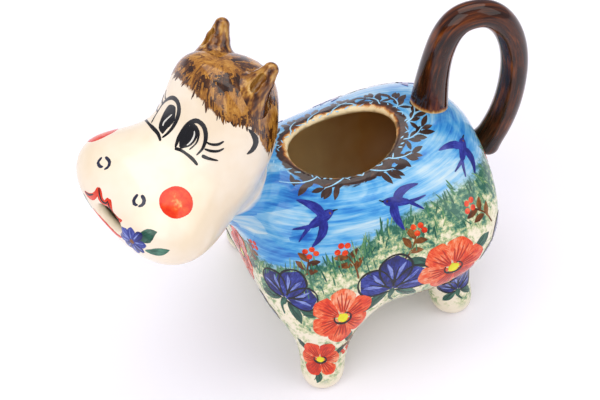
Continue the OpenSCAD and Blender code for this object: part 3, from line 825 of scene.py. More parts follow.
def tail_path():
    """Places along the roll, up from the back and down to the rump, and the roll's radius at each."""
    front = np.array([-TAIL_FRONT_X, BACK_H[1] - TAIL_ROOT_R])
    top = np.array([-LOOP_TOP_X, LOOP_TOP_H])
    back = np.array([-LOOP_BACK_X, MID_Z + (LOOP_TOP_H - MID_Z) * LOOP_BACK_RISE])
    end = np.array([-HALF_L - RUMP_LEAN, MID_Z + TAIL_ROOT_R])
    over_front, over_back = (LOOP_BULGE * (place[0] - top[0]) for place in (front, back))
    flat = np.concatenate([
        bezier(front, front + (0, TAIL_UPRIGHT * (top[1] - front[1])), top + (over_front, 0), top),
        bezier(top, top + (over_back, 0), back + (0, LOOP_BULGE * (top[1] - back[1])), back),
        bezier(back, back - (0, LOOP_BULGE * (back[1] - end[1])),
               end + 0.3 * np.array([back[0] - end[0], (back[1] - end[1]) / 2]), end), [end]])
    k = np.linspace(0, 1, len(flat))
    y = LOOP_SWAY * np.sin(np.pi * k) - TAIL_ASIDE * (1 - k)**2
    off = np.abs(2 * k - 1)
    root = np.maximum(0, (off - ROOT_FROM) / (1 - ROOT_FROM))
    radius = TAIL_MID_R + (TAIL_ROOT_R - TAIL_MID_R) * off**2 + TAIL_ROOT_R * ROOT_FLARE * root**2
    to_end = np.linalg.norm(flat - end, axis=1)
    thumbed = np.sqrt(1 - (1 - np.clip(to_end / THUMB_L, 0.012, 1))**2)
    return np.stack([flat[:, 0], y, flat[:, 1]], 1), radius * thumbed


def roll_tree():
    """A roll of clay along a path of edges; each point of the path says how thick the roll is there."""
    tree, start, end = node_group("clay_roll", [
        ("Sides", "NodeSocketInt", 44), ("Step", "NodeSocketFloat", 0.6 * MM),
        ("Material", "NodeSocketMaterial", None)])
    path = add(tree, "GeometryNodeMeshToCurve", {"Mesh": start["Geometry"]})
    fine = add(tree, "GeometryNodeResampleCurve", {"Curve": path, "Length": start["Step"]}, mode="LENGTH")
    length = add(tree, "GeometryNodeSplineParameter").outputs["Length"]
    marked = add(tree, "GeometryNodeStoreNamedAttribute",
                 {"Geometry": fine, "Name": "length", "Value": length}, data_type="FLOAT", domain="POINT")
    profile = add(tree, "GeometryNodeCurvePrimitiveCircle", {"Resolution": start["Sides"], "Radius": 1.0})
    ringed = add(tree, "GeometryNodeStoreNamedAttribute",
                 {"Geometry": profile, "Name": "ring", "Value": add(tree, "GeometryNodeInputPosition")},
                 data_type="FLOAT_VECTOR", domain="POINT")
    thick = add(tree, "GeometryNodeInputNamedAttribute", {"Name": "thick"}, data_type="FLOAT")
    roll = add(tree, "GeometryNodeCurveToMesh", {"Curve": marked, "Profile Curve": ringed, "Scale": thick,
                                                 "Fill Caps": True})
    one = add(tree, "GeometryNodeRealizeInstances", {"Geometry": roll})
    done = add(tree, "GeometryNodeSetMaterial", {"Geometry": one, "Material": start["Material"]})
    feed(tree, end, {0: done})
    return tree


STREAK_R = 6


def tail():
    path, radius = tail_path()
    base = piece("tail_path", path, [])
    first = np.arange(len(path) - 1)
    base.data.edges.add(len(first))
    base.data.edges.foreach_set("vertices", np.column_stack([first, first + 1]).ravel())
    keep(base, "thick", radius * MM)
    obj = grown("looped_tail", base, roll_tree(), {"Material": HANDLE_GLAZE}, HANDLE_GLAZE)
    around, length = kept(obj, "ring") * STREAK_R, kept(obj, "length", "value", 1)
    keep(obj, "ring", np.column_stack([around[:, :2], length / MM]))
    keep(obj, "off_body", outside(in_millimetres(kept(obj, "position"))))
    part_of(obj, "tail_handle")


tail()


# Brushwork. A stroke is a path of places on the skin with the brush's width at each; it becomes
# a closed skin of colour that lies on the glaze, and up to 0.4 mm proud of it over other strokes.

SUNK, EDGE_SUNK = 0.22, 0.03  # how deep a stroke's back and its edge lie under the glaze
ROW_MM, COLUMN_MM, MOST_ROWS, MOST_COLUMNS = 0.8, 0.9, 60, 24
BLUNT = 0.9  # the length of a stroke's round end, as a share of half its width
STROKE_APART, DAB_APART = 97.0, 7.3  # so that no two strokes or dabs share their streaks
chance = np.random.default_rng(7)


def spread(columns):
    """Places across a stroke, with one close to each edge."""
    return np.concatenate([[-1], np.linspace(-0.9, 0.9, columns - 2), [1]])


def walked(path):
    """How far along a path each of its places lies."""
    return np.concatenate([[0], np.cumsum(np.linalg.norm(np.diff(path[:, :3], axis=0), axis=1))])


def strung(path, count):
    """Places along a smooth curve through the path's, closer together towards both ends."""
    s = walked(path)
    t = s[-1] * (1 - np.cos(np.linspace(0, np.pi, count))) / 2
    curves = [(s, c) if len(path) == 2 else smooth_curve(s, c) for c in path.T]
    return np.stack([np.interp(t, *curve) for curve in curves], 1), t


def painted(name, strokes, material, rough=0.0):
    """One piece made of strokes; each is a path with widths, how proud it stands, and its tone."""
    centres, halves, sizes, marks = [], [], [], []
    for path, proud, tone in strokes:
        rows = int(np.clip(walked(path)[-1] / ROW_MM, 6, MOST_ROWS)) + 3
        columns = int(np.clip(path[:, 3].max() / COLUMN_MM, 1, MOST_COLUMNS)) * 2 + 3
        p, t = strung(path, rows)
        half = p[:, 3] / 2
        near = np.minimum(t, t[-1] - t) / np.maximum(half.max() * BLUNT, 1e-6)
        half = half * np.sqrt(np.clip(1 - (1 - np.clip(near, 0.02, 1))**2, 0.02, 1))
        if rough:
            half = half * (1 + rough * chance.normal(size=rows))
        centres.append(p[:, :3])
        halves.append(half)
        sizes.append((rows, columns))
        marks.append((t, proud, tone))
    spine = settle(clay, np.concatenate(centres), 4, 2.5)
    up = normals_of(clay, spine)
    flat, first = [], 0
    for (rows, columns), half in zip(sizes, halves):
        mine = slice(first, first + rows)
        side = np.cross(np.gradient(spine[mine], axis=0), up[mine])
        side /= np.maximum(np.linalg.norm(side, axis=1), 1e-9)[:, None]
        reach = half[:, None] * spread(columns)
        flat.append((spine[mine, None] + reach[..., None] * side[:, None]).reshape(-1, 3))
        first += rows
    top = settle(clay, np.concatenate(flat), 3, 1.5)
    up = normals_of(clay, top)
    points, faces, normals, stroke, tones, edges = [], [], [], [], [], []
    first = base = 0
    for (rows, columns), half, (t, proud, tone) in zip(sizes, halves, marks):
        mine = slice(first, first + rows * columns)
        first += rows * columns
        s = spread(columns)
        lift = np.where(np.abs(s) > 0.999, -EDGE_SUNK, proud)
        grid, n = top[mine].reshape(rows, columns, 3), up[mine].reshape(rows, columns, 3)
        upper = grid + lift[None, :, None] * n
        upper[[0, -1]] = grid[[0, -1]] - EDGE_SUNK * n[[0, -1]]
        points.append(np.concatenate([upper, (grid - SUNK * n)[:, -2:0:-1]], 1).reshape(-1, 3))
        normals.append(np.concatenate([n, n[:, -2:0:-1]], 1).reshape(-1, 3))
        across = np.concatenate([s, s[-2:0:-1]])
        around = len(across)
        laid = np.broadcast_arrays(across * half[:, None], t[:, None], STROKE_APART * len(points))
        stroke.append(np.stack(laid, -1).reshape(-1, 3))
        tones.append(np.full(rows * around, tone))
        reach = np.hypot(across[None], (2 * t / max(t[-1], 1e-6) - 1)[:, None])
        edges.append(np.clip(reach, 0, 1).ravel())
        number = base + np.arange(rows * around).reshape(rows, around)
        nxt = np.roll(number, -1, 1)
        faces += np.stack([number[:-1], nxt[:-1], nxt[1:], number[1:]], -1).reshape(-1, 4).tolist()
        faces += [number[0, ::-1].tolist(), number[-1].tolist()]
        base += rows * around
    obj = piece(name, np.concatenate(points), faces, material, np.concatenate(normals))
    keep(obj, "stroke", np.concatenate(stroke))
    keep(obj, "tone", np.concatenate(tones))
    keep(obj, "edge", np.concatenate(edges))
    return part_of(obj)


def on_head(path, broad=1.0):
    """A path given as forwards, left, up in the head, and width, all in millimetres."""
    p = np.asarray(path, float)
    return np.column_stack([out_of_head(p[:, :3]), p[:, 3] * broad])


MARCH = 0.8  # the share of the distance to the skin that a step towards it covers


def struck(origin, way):
    """The first place on the skin along a line."""
    p, way = np.array([origin], float), np.array(way, float) / np.linalg.norm(way)
    for _ in range(60):
        p = p + np.clip(outside(p), -3, 12)[:, None] * MARCH * way
    return p[0]


def sheet(at):
    """Draws flat on the skin's tangent plane at a place: across, up and width in millimetres."""
    up = normals_of(outside, np.array([at]))[0]
    rise = np.array([0, 0, 1.0]) - up[2] * up
    rise /= np.linalg.norm(rise)
    across = np.cross(rise, up)

    def draw(path):
        p = np.asarray(path, float)
        return np.column_stack([at + np.outer(p[:, 0], across) + np.outer(p[:, 1], rise), p[:, 2]])
    return draw


# The face, in strokes given from the head's middle: forwards, left, up, and the brush's width

def face():
    black = [
        # the far eye: its arch, thin inner rim, pupil and lower lid, then the lashes
        [(19.2, -12.6, 8.3, .5), (15.7, -14.6, 8, .5), (12.7, -14.6, 9.9, .6), (10.3, -12.3, 13.5, .9),
         (8.8, -9, 16.6, 1.2), (8.5, -5.7, 17.7, 1.6), (9.4, -3.5, 17, 1.7), (11.4, -2.4, 15.2, 1.6),
         (14.8, -2.1, 12.7, 1.2), (18, -2.4, 11.2, .9), (20.6, -2.9, 10.5, .6)],
        [(19.4, -18, 5, .8), (19.9, -13.9, 7.8, .7), (20.2, -9.6, 9.5, 1.1), (20.5, -5.5, 10.3, 1),
         (21.7, -2.2, 10.5, .7)],
        [(10.2, -13.2, 12.9, .5), (9.1, -15.1, 12.4, .5), (7.6, -15.9, 13.4, .3)],
        [(11.8, -14, 10.8, .8), (10.7, -16.3, 9.7, .7), (8.8, -17.4, 10.4, .3)],
        [(14.6, -15.2, 7.8, .5), (13.6, -17.9, 5.8, .6), (12, -19.2, 5.4, .3)],
        # the near eye
        [(19.7, 4.1, 10.6, .7), (16.1, 2.6, 11.8, 1.3), (11.8, 3.1, 14.9, 1.1), (8.6, 6.4, 17.4, 1.4),
         (8.2, 9.7, 16.8, 1.6), (9.8, 11.7, 14.1, 1.3), (13, 12.4, 11.1, .8), (16.2, 11.8, 9.4, .4)],
        [(18.5, 5.1, 10.7, .4), (13.9, 4.1, 13, .8), (10.3, 5.8, 15.8, 1.1), (10.5, 8.5, 14.8, .9),
         (13, 9.6, 12.3, .5), (16.7, 8.7, 10.4, .4)],
        [(20, 4.2, 10.5, 1), (19, 6.2, 10.4, .9), (18.4, 8.7, 9.9, .8), (18, 11.6, 9, 1),
         (18.1, 14.2, 7.7, .7)],
        [(10.9, 12.4, 12.6, .5), (10.2, 14.2, 12.1, .7), (8.4, 16.3, 12.1, .8), (6.3, 17.4, 12.9, .4)],
        [(12.8, 12.9, 10.8, .5), (11.6, 15, 10.2, .8), (9.7, 17, 10, .7), (7.7, 18.1, 10.6, .4)],
        [(14.9, 13.2, 9.2, 1.1), (13.8, 15.4, 8.3, .9), (11.7, 18, 7.1, .4)],
        # the curl that stands for each ear's lobe
        *([(-2.7, side * 20.3, 13, .5), (-3, side * 21, 9.7, 1.3), (-2.6, side * 21.6, 6.1, 2.2),
           (-.4, side * 22.1, 4.6, 2.0), (2.7, side * 22.1, 4.7, .6)] for side in (1, -1))]
    pupils = [
        [(19.4, -4, 10.6, 1.8), (17.4, -5.8, 10.8, 5.4), (14.8, -6.8, 12, 7.6), (12.3, -6.3, 14, 7),
         (10.2, -5.3, 16, 3.6)],
        [(18.6, 5.9, 10.6, 2.4), (16.4, 5.6, 11.4, 5.2), (13.8, 5.8, 12.8, 6.5), (11.7, 6.4, 14.4, 5.5),
         (10, 6.6, 15.8, 2.6)]]
    # painted highlights: a pale grey crescent on each pupil, painted where the light would reflect
    painted_highlights = [
        [(17.4, -6.4, 10.7, .4), (16.2, -7.1, 11.1, .7), (14.6, -6.6, 12, .6), (12.5, -5.3, 13.9, .3)],
        [(11.3, 7, 14.7, .3), (12, 7.6, 13.9, .5), (13.5, 7.8, 12.6, .65), (15, 7.5, 11.6, .5),
         (16.3, 7, 11, .3)]]
    rings = [
        [(40.6, -13.2, 10.9, .8), (42.9, -12.8, 10.5, .95), (43.4, -10.6, 10.8, .9), (42.7, -9.4, 11.2, .5)],
        [(39.7, -12.1, 11.3, .8), (39.9, -8.9, 11.7, .95), (41.4, -7.6, 11.6, .9), (43.2, -8.2, 11.1, .5)],
        [(40.6, 9.8, 11.5, .8), (43, 10.2, 11, .95), (43.8, 11.5, 10.5, .9), (43.1, 12.7, 10.5, .5)],
        [(39.9, 11, 11.4, .9), (40.4, 13.1, 11, 1.05), (41.8, 13.9, 10.6, 1), (43.5, 13.1, 10.4, .5)]]
    lips = [
        [(52.8, -12.3, 3.6, .7), (53, -9.4, 4.2, 1.7), (52.3, -6.4, 5.8, 2.1), (50.8, -5, 7.7, 2),
         (48.9, -5.4, 9.4, 1.4)],
        [(48.8, -5.2, 9.5, 1.3), (49.9, -3.6, 8.4, 2.2), (51, -1.4, 7.5, 2), (50.9, .9, 7.7, 1.9),
         (48.8, 1.3, 9.3, 1.5)],
        [(48.7, 1.9, 9.4, 1.4), (50.6, 3.4, 7.8, 2.3), (51.7, 5.8, 6.6, 1.9), (51.6, 8.6, 6.3, 1.6),
         (50.5, 10.8, 7, .9)],
        [(54.4, -6.4, .4, .5), (54.9, -3.4, -1, 1.1), (55, .4, -2.1, 1.5), (54.8, 4.4, -2.5, 1.5),
         (54.3, 8, -1.9, 1.2), (53.6, 10.8, -.6, .6)]]
    lip_lines = [
        [(52.9, -11.8, 3.9, .3), (52.8, -9.2, 4.7, .6), (52, -7, 6.2, .45), (51.6, -6.2, 6.8, .3)],
        [(48.8, -5, 9.4, .5), (50.1, -3.1, 8.2, .5), (51, -.7, 7.5, .55), (50.4, 1.4, 8, .45),
         (49.5, 1.7, 8.8, .4)],
        [(49.8, 2, 8.5, .4), (51, 4.2, 7.3, .5), (51.7, 6.6, 6.5, .5), (51.2, 9.6, 6.6, .3)]]
    for name, paths, broad, proud, tone, material in (
            ("eye_lines_and_lashes", black, 1.35, 0.1, 0, BLACK), ("pupils", pupils, 1, 0.07, 0, BLACK),
            ("glints_left_bare", painted_highlights, 1.1, 0.16, 0.1, PAINTED_HIGHLIGHT), ("nostril_rings", rings, 1.4, 0.08, 0, SLATE),
            ("red_lips", lips, 1.3, 0.07, 0, LIP), ("lip_lines", lip_lines, 1.35, 0.13, 0, BLACK)):
        painted(name, [(on_head(path, broad), proud, tone) for path in paths], material)
    cheeks = []
    for middle, eye in (((32.5, 20.2, 7.8), (32.5, 60, 30)), ((34, -26, 4.2), (34, -70, 34))):
        draw = sheet(struck(out_of_head(eye), out_of_head(middle) - out_of_head(eye)))
        cheeks.append((draw([(x, 0, 12.2) for x in (-6.1, -3, 0, 3, 6.1)]), 0.06, 0))
    painted("sponged_cheeks", cheeks, CHEEK)


face()


# Dabs of the brush that repeat: one small closed shape, laid on the skin at many marked points

def dab_shape(name, profile):
    """A flat dab along +y, as wide as its profile says; a point's lift says how proud of the skin it lies."""
    section = ((-0.5, -EDGE_SUNK), (-0.36, 1), (0, 1), (0.36, 1), (0.5, -EDGE_SUNK), (0, -2))
    points = [(x * w, y, 0) for y, w in profile for x, _ in section]
    lifts = [[lift for _, lift in section] for _ in profile]
    for end in (0, -1):
        lifts[end][:5] = [-EDGE_SUNK] * 5
    last = (len(profile) - 1) * 6
    faces = [(row + c, row + (c + 1) % 6, row + (c + 1) % 6 + 6, row + c + 6)
             for row in range(0, last, 6) for c in range(6)]
    faces += [tuple(range(5, -1, -1)), tuple(range(last, last + 6))]
    mesh = bpy.data.meshes.new(name)
    mesh.from_pydata(points, [], faces)
    obj = placed(name, mesh)
    keep(obj, "lift", np.ravel(lifts))
    keep(obj, "stroke", points)
    return obj


def dab_tree():
    """One dab at each point, turned along its stroke and up from the skin, then laid close on the skin."""
    tree, start, end = node_group("dabs_on_skin", [
        ("Dab", "NodeSocketObject", None), ("Skin", "NodeSocketObject", None),
        ("Thickness", "NodeSocketFloat", 0.08 * MM), ("Material", "NodeSocketMaterial", None)])
    named = {name: add(tree, "GeometryNodeInputNamedAttribute", {"Name": name}, data_type=kind)
             for name, kind in (("up", "FLOAT_VECTOR"), ("along", "FLOAT_VECTOR"), ("size", "FLOAT_VECTOR"),
                                ("lift", "FLOAT"), ("layer", "FLOAT"))}
    dab, skin = (add(tree, "GeometryNodeObjectInfo", {"Object": start[name]}).outputs["Geometry"]
                 for name in ("Dab", "Skin"))
    turned = add(tree, "FunctionNodeAxesToRotation",
                 {"Primary Axis": named["up"], "Secondary Axis": named["along"]},
                 primary_axis="Z", secondary_axis="Y")
    laid = add(tree, "GeometryNodeInstanceOnPoints", {
        "Points": start["Geometry"], "Instance": dab, "Rotation": turned, "Scale": named["size"]})
    real = add(tree, "GeometryNodeRealizeInstances", {"Geometry": laid})
    nearest = add(tree, "GeometryNodeProximity", {"Geometry": skin}, target_element="FACES")
    proud = add(tree, "ShaderNodeMath", {0: named["lift"], 1: named["layer"]}, operation="MULTIPLY")
    height = add(tree, "ShaderNodeMath", {0: proud, 1: start["Thickness"]}, operation="MULTIPLY")
    offset = add(tree, "ShaderNodeVectorMath", {0: named["up"], "Scale": height}, operation="SCALE")
    place = add(tree, "ShaderNodeVectorMath", {0: nearest.outputs["Position"], 1: offset}, operation="ADD")
    moved = add(tree, "GeometryNodeSetPosition", {"Geometry": real, "Position": place})
    one = add(tree, "GeometryNodeRealizeInstances", {"Geometry": moved})
    done = add(tree, "GeometryNodeSetMaterial", {"Geometry": one, "Material": start["Material"]})
    feed(tree, end, {0: done})
    return tree


DAB_TREE = dab_tree()
BRUSH_DAB = dab_shape("brush_dab", [(0, .4), (.07, .75), (.25, .98), (.5, 1), (.72, .85), (.88, .55),
                                    (1, .12)])
LEAF_DAB = dab_shape("leaf_dab", [(0, .16), (.12, .45), (.32, .9), (.52, 1), (.72, .8), (.9, .38), (1, .08)])
skin_points = settle(clay, all_points, 1)
SKIN = piece("skin_to_paint_on", skin_points, all_quads)


def dabbed(name, places, ways, widths, lengths, tones, material, dab, thickness=0.08):
    """Dabs of colour: each starts at a place and runs along its way over the skin."""
    places, ways, count = settle(clay, places, 3, 2.0), np.asarray(ways, float), len(places)
    sizes = np.column_stack([widths, lengths, np.ones(count)])
    up = normals_of(clay, places)
    ways = ways - (ways * up).sum(1)[:, None] * up
    ways /= np.linalg.norm(ways, axis=1)[:, None]
    base = piece(name + "_places", places, [])
    keep(base, "up", up)
    keep(base, "along", ways)
    keep(base, "size", sizes * MM)
    keep(base, "tone", tones)
    keep(base, "layer", chance.uniform(0.75, 1.5, count))
    inputs = {"Dab": dab, "Skin": SKIN, "Thickness": thickness * MM, "Material": material}
    obj = grown(name, base, DAB_TREE, inputs, material)
    number = np.repeat(np.arange(count), len(dab.data.vertices))
    stroke = kept(obj, "stroke") * sizes[number]
    keep(obj, "stroke", np.column_stack([stroke[:, :2], number * DAB_APART]))
    obj.data.normals_split_custom_set_from_vertices(normals_of(clay, in_millimetres(kept(obj, "position"))))
    return part_of(obj)


# Hair: combed from the whorl on the crown, so it falls forwards over the brow and down the sides

OVER_CROWN, OVER_BROW = 1700, 460


def hair():
    whorl = out_of_head([-15.0, 0.0, 31.0])
    skin = skin_points[np.abs(outside(skin_points)) < 0.3]
    skin = skin[(in_head(skin)[:, 0] > -30) & (in_head(skin)[:, 0] < 9)]
    share = hair_share(skin)
    crown, fringe = skin[share > 3.0], skin[(share > 1.2) & (share < 4.4)]
    over = crown[chance.choice(len(crown), OVER_CROWN)] + chance.normal(0, 0.4, (OVER_CROWN, 3))
    front = fringe[chance.choice(len(fringe), OVER_BROW)] + chance.normal(0, 0.3, (OVER_BROW, 3))
    places = np.concatenate([over, front])
    ways = places - whorl + chance.normal(0, 2.2, places.shape)
    count = OVER_CROWN + OVER_BROW
    is_front = np.arange(count) >= OVER_CROWN
    u, v, w = in_head(places).T
    # dark bands lie across the strands, and wander
    out = np.linalg.norm(places - whorl, axis=1)
    bands = np.sin(out * 0.62 + 1.3 * np.sin(v * 0.21 + 0.8) + 0.9 * np.sin(u * 0.4))
    dark = np.clip((bands + 0.5 * np.sin(v * 0.55 + u * 0.3) - 0.3) * 2.4, 0, 1)
    tones = 0.08 - 0.3 * dark + chance.normal(0, 0.035, count)
    clumps = np.sin(v * 1.1 + 0.8 * np.sin(w * 0.9)) + 0.6 * np.sin(v * 2.3 + w * 0.7)
    tones[is_front] = np.where(clumps + chance.normal(0, 0.5, count) > 0.25, -0.17, 0.05)[is_front]
    room = hair_share(places)
    lengths = np.where(is_front, room + chance.uniform(-0.6, 1.2, count) + 2.4 * np.clip(clumps, 0, 1)**2,
                       np.minimum(chance.uniform(4.5, 8.5, count), room + 0.4))
    lengths = np.maximum(lengths, 1.6)
    widths = np.where(is_front, chance.uniform(0.55, 1.25, count),
                      chance.uniform(0.8, 1.9, count) * (1 + 0.5 * dark))
    dabbed("brushed_hair", places, ways, widths, lengths, tones, HAIR, BRUSH_DAB, 0.07)


hair()


# A garland of leaves round the filling mouth: sprays that fan out over the brown band's edge

def by_mouth(angle, out):
    a, b = MOUTH_L / 2, MOUTH_W / 2
    nx, ny = np.cos(angle) / a, np.sin(angle) / b
    size = np.hypot(nx, ny)
    x, y = a * np.cos(angle) + out * nx / size, b * np.sin(angle) + out * ny / size
    return np.stack([MOUTH_X + x, y, np.full_like(x, 92.0)], -1)


NECK_FOOT_X, NECK_FOOT_Z = 30, 88.6
SPRAYS, SLIVERS = 15, 46
# A spray's stem, as steps along the mouth, outwards, and the brush's width; its leaves, as the share
# of the stem where each starts, its lean, width and length
STEM = ((0, 4.4, 0.3), (1.8, 7.0, 0.5), (4.8, 9.2, 0.4), (7.5, 10.6, 0.3))
SPRAY = ((0.16, 0.3, 2.1, 4.6), (0.42, 0.15, 2.5, 6.0), (0.68, 0.45, 2.4, 5.8), (0.3, 2.6, 1.8, 4.0),
         (0.62, 3.4, 1.9, 4.4), (1.0, 2.2, 2.2, 5.6), (0.0, -1.3, 1.9, 4.6), (0.9, 0.5, 1.9, 4.6))


def laid_on(places):
    return settle(clay, np.array(places), 5, 3.0)


def up_the_neck(points):
    return (points[:, 0] > NECK_FOOT_X) & (points[:, 2] > NECK_FOOT_Z)


def garland():
    fine = np.linspace(0, 2 * np.pi, 721)
    reach = walked(by_mouth(fine, 7.0))
    total = reach[-1]

    def at(distance, out):
        return by_mouth(np.interp(np.mod(distance, total), reach, fine), out)

    stems, leaves, slivers = [], [], []
    for k in range(SPRAYS):
        s = (k + chance.uniform(-0.08, 0.08)) * total / SPRAYS
        turn = 1 if 4 <= k < 11 else -1
        path = laid_on([at(s + turn * d, out) for d, out, _ in STEM])
        if not up_the_neck(path).any():
            stems.append((np.column_stack([path, [w for _, _, w in STEM]]), 0.2, chance.normal(0, 0.05)))
        for t, lean, width, length in SPRAY:
            d, out = (np.interp(t, (0, 1 / 3, 2 / 3, 1), [p[i] for p in STEM]) for i in (0, 1))
            off_stem = 0 if lean >= 1 else 0.5 if lean > 0 else 1.6
            leaves.append((s + turn * d, out + off_stem, turn * lean + chance.normal(0, 0.12),
                           width * chance.uniform(0.9, 1.15), length * chance.uniform(0.85, 1.15)))
    for k in range(SLIVERS):
        slivers.append(((k + chance.uniform(-0.4, 0.4)) * total / SLIVERS, chance.uniform(3.0, 4.6),
                        chance.choice([-1, 1]) * chance.uniform(0.6, 2.4), chance.uniform(0.3, 0.6),
                        chance.uniform(1.2, 3.0)))
    painted("garland_stems", stems, RESERVE, rough=0.08)
    for name, marks, material, thickness in (("garland_leaves", leaves, BARK, 0.08),
                                             ("garland_reserves", slivers, RESERVE, 0.14)):
        places, ways = [], []
        for s, out, lean, _, _ in marks:
            a, beyond, ahead = at(s, out), at(s, out + 1), at(s + 1, out)
            places.append(a)
            ways.append((beyond - a) + lean * (ahead - a))
        tips = [a + length * way / np.linalg.norm(way) for a, way, (*_, length) in zip(places, ways, marks)]
        on_back = ~(up_the_neck(laid_on(places)) | up_the_neck(laid_on(tips)))
        places, ways, marks = ([v for v, good in zip(values, on_back) if good]
                               for values in (places, ways, marks))
        dabbed(name, laid_on(places), ways, [m[3] for m in marks], [m[4] for m in marks],
               chance.normal(0, 0.06, len(marks)), material, LEAF_DAB, thickness=thickness)


garland()


# The meadow: grass along the line where the sky ends, flowers and sprigs below it, swallows above

def on_trunk(angle, height, reach=100.0):
    """Places on the skin seen from outside at an angle round the trunk, at a height."""
    way = np.stack([np.cos(angle), np.sin(angle), np.zeros_like(angle)], -1)
    p = way * reach + np.stack([np.zeros_like(angle), np.zeros_like(angle), height], -1)
    for _ in range(50):
        p = p - np.clip(outside(p), -2, 14)[:, None] * MARCH * way
    return p


BLADES = 460


def grass():
    angle = chance.uniform(0, 2 * np.pi, BLADES)
    line = np.interp(on_trunk(angle, np.full(BLADES, 64.0))[:, 0], *GRASS_LINE)
    below = np.abs(chance.normal(0, 4.5, BLADES)) + 1.5
    tufts = 2.4 * np.sin(angle * 9 + 1) + 1.6 * np.sin(angle * 23)
    places = on_trunk(angle, line - below + tufts * 0.5)
    lean = chance.normal(0, 0.28, BLADES) + 0.18 * np.sin(angle * 5)
    side = np.stack([-np.sin(angle), np.cos(angle), np.zeros(BLADES)], -1)
    ways = np.array([0, 0, 1.0]) + lean[:, None] * side
    lengths = chance.uniform(2.4, 6.8, BLADES)
    widths = chance.uniform(0.35, 0.9, BLADES)
    tones = chance.normal(0.08, 0.1, BLADES) + 0.07 * np.sin(angle * 13)
    dabbed("grass_blades", places, ways, widths, lengths, tones, GRASS, BRUSH_DAB)


# Each colour of the meadow is one piece: its glaze, and how unsteady the brush's edge is
MEADOW = {"red_rosettes": (RED, 0.03), "blue_bellflowers": (BLUE, 0.02), "green_cups": (LEAF, 0.0),
          "yellow_centres": (YELLOW, 0.0), "brown_sprigs": (BROWN, 0.05), "red_berries": (RED, 0.0),
          "swallows": (VIOLET, 0.03), "drawn_outlines": (BLACK, 0.1)}
STROKES = {name: [] for name in MEADOW}


def lay(name, path, proud, tone=0.0):
    STROKES[name].append((path, proud, tone))


def ray(turn, size, marks, bend=0.0, broad=1.0):
    """Out from a flower's middle: each mark is a share of the size and the brush's width there."""
    return [(q * size * math.cos(turn + bend * q), q * size * math.sin(turn + bend * q), w * broad)
            for q, w in marks]


def petal_edges(path):
    """The outline of a petal drawn as one broad stroke: up its left side, over and down its right."""
    p = np.asarray(path, float)
    along = np.gradient(p[:, :2], axis=0)
    along /= np.linalg.norm(along, axis=1)[:, None]
    side = np.column_stack([-along[:, 1], along[:, 0]]) * p[:, 2:] * 0.47
    left, right, tip = p[:, :2] + side, p[:, :2] - side, p[-1, :2] + along[-1] * p[-1, 2] * 0.1
    return np.concatenate([left, [tip], right[::-1]])


LEAF_MARKS = ((0, 0.3), (0.2, 0.75), (0.45, 1), (0.7, 0.8), (0.9, 0.35), (1, 0.12))


def foliage(draw, r, turn, places):
    """Leaves that look out from under a flower, each with two darker veins."""
    for lean, near, length, wide in places:
        a = math.radians(lean + turn)
        c, s = math.cos(a), math.sin(a)
        bend = chance.uniform(-0.25, 0.25)
        path = []
        for q, w in LEAF_MARKS:
            out, aside = (near + q * length) * r, bend * q * (1 - q) * r
            path.append((out * c - aside * s, out * s + aside * c, w * wide * r))
        lay("green_cups", draw(path), 0.05, chance.normal(-0.02, 0.06))
        for q in (-0.12, 0.14):
            vein = []
            for t, w in ((0.1, 0.5), (0.45, 0.45), (0.8, 0.2)):
                out, turned = (near + t * length) * r, a + q * t
                vein.append((out * math.cos(turned), out * math.sin(turned), w))
            lay("green_cups", draw(vein), 0.09, -0.24)


ROSETTE_PETAL = ((0.12, 0.2), (0.34, 0.46), (0.58, 0.68), (0.8, 0.76), (0.97, 0.5))
BELL_PETAL = ((0.02, 0.22), (0.25, 0.55), (0.5, 0.8), (0.74, 0.82), (0.92, 0.55), (1.0, 0.3))


def rosette(draw, r, turn):
    for k in range(6):
        a = math.radians(60 * k + turn)
        wide = r * chance.uniform(0.92, 1.06)
        lay("red_rosettes", draw(ray(a, r, ROSETTE_PETAL, broad=wide)), 0.22 + 0.035 * (k % 2),
            chance.normal(0.03, 0.06))
        for lean in (-0.3, -0.12, 0.08, 0.26):
            marks = ((0.2, 0.035 * r), (0.45, 0.05 * r), (chance.uniform(0.6, 0.85), 0.02 * r))
            lay("red_rosettes", draw(ray(a + lean, r, marks)), 0.3, -0.2)
    foliage(draw, r, turn, ((15, 0.7, 0.75, 0.34), (142, 0.7, 0.7, 0.32), (262, 0.7, 0.6, 0.3)))
    middle = [(-0.14 * r, -0.06 * r, 0.2 * r), (0, 0, 0.34 * r), (0.16 * r, 0.06 * r, 0.2 * r)]
    lay("yellow_centres", draw(middle), 0.34)
    ring = [(0.25 * r * math.cos(t), 0.19 * r * math.sin(t), w) for t, w in
            zip(np.linspace(2.6, 7.6, 9), (.3, .5, .8, .9, .9, .8, .6, .5, .3))]
    lay("drawn_outlines", draw(ring), 0.37)


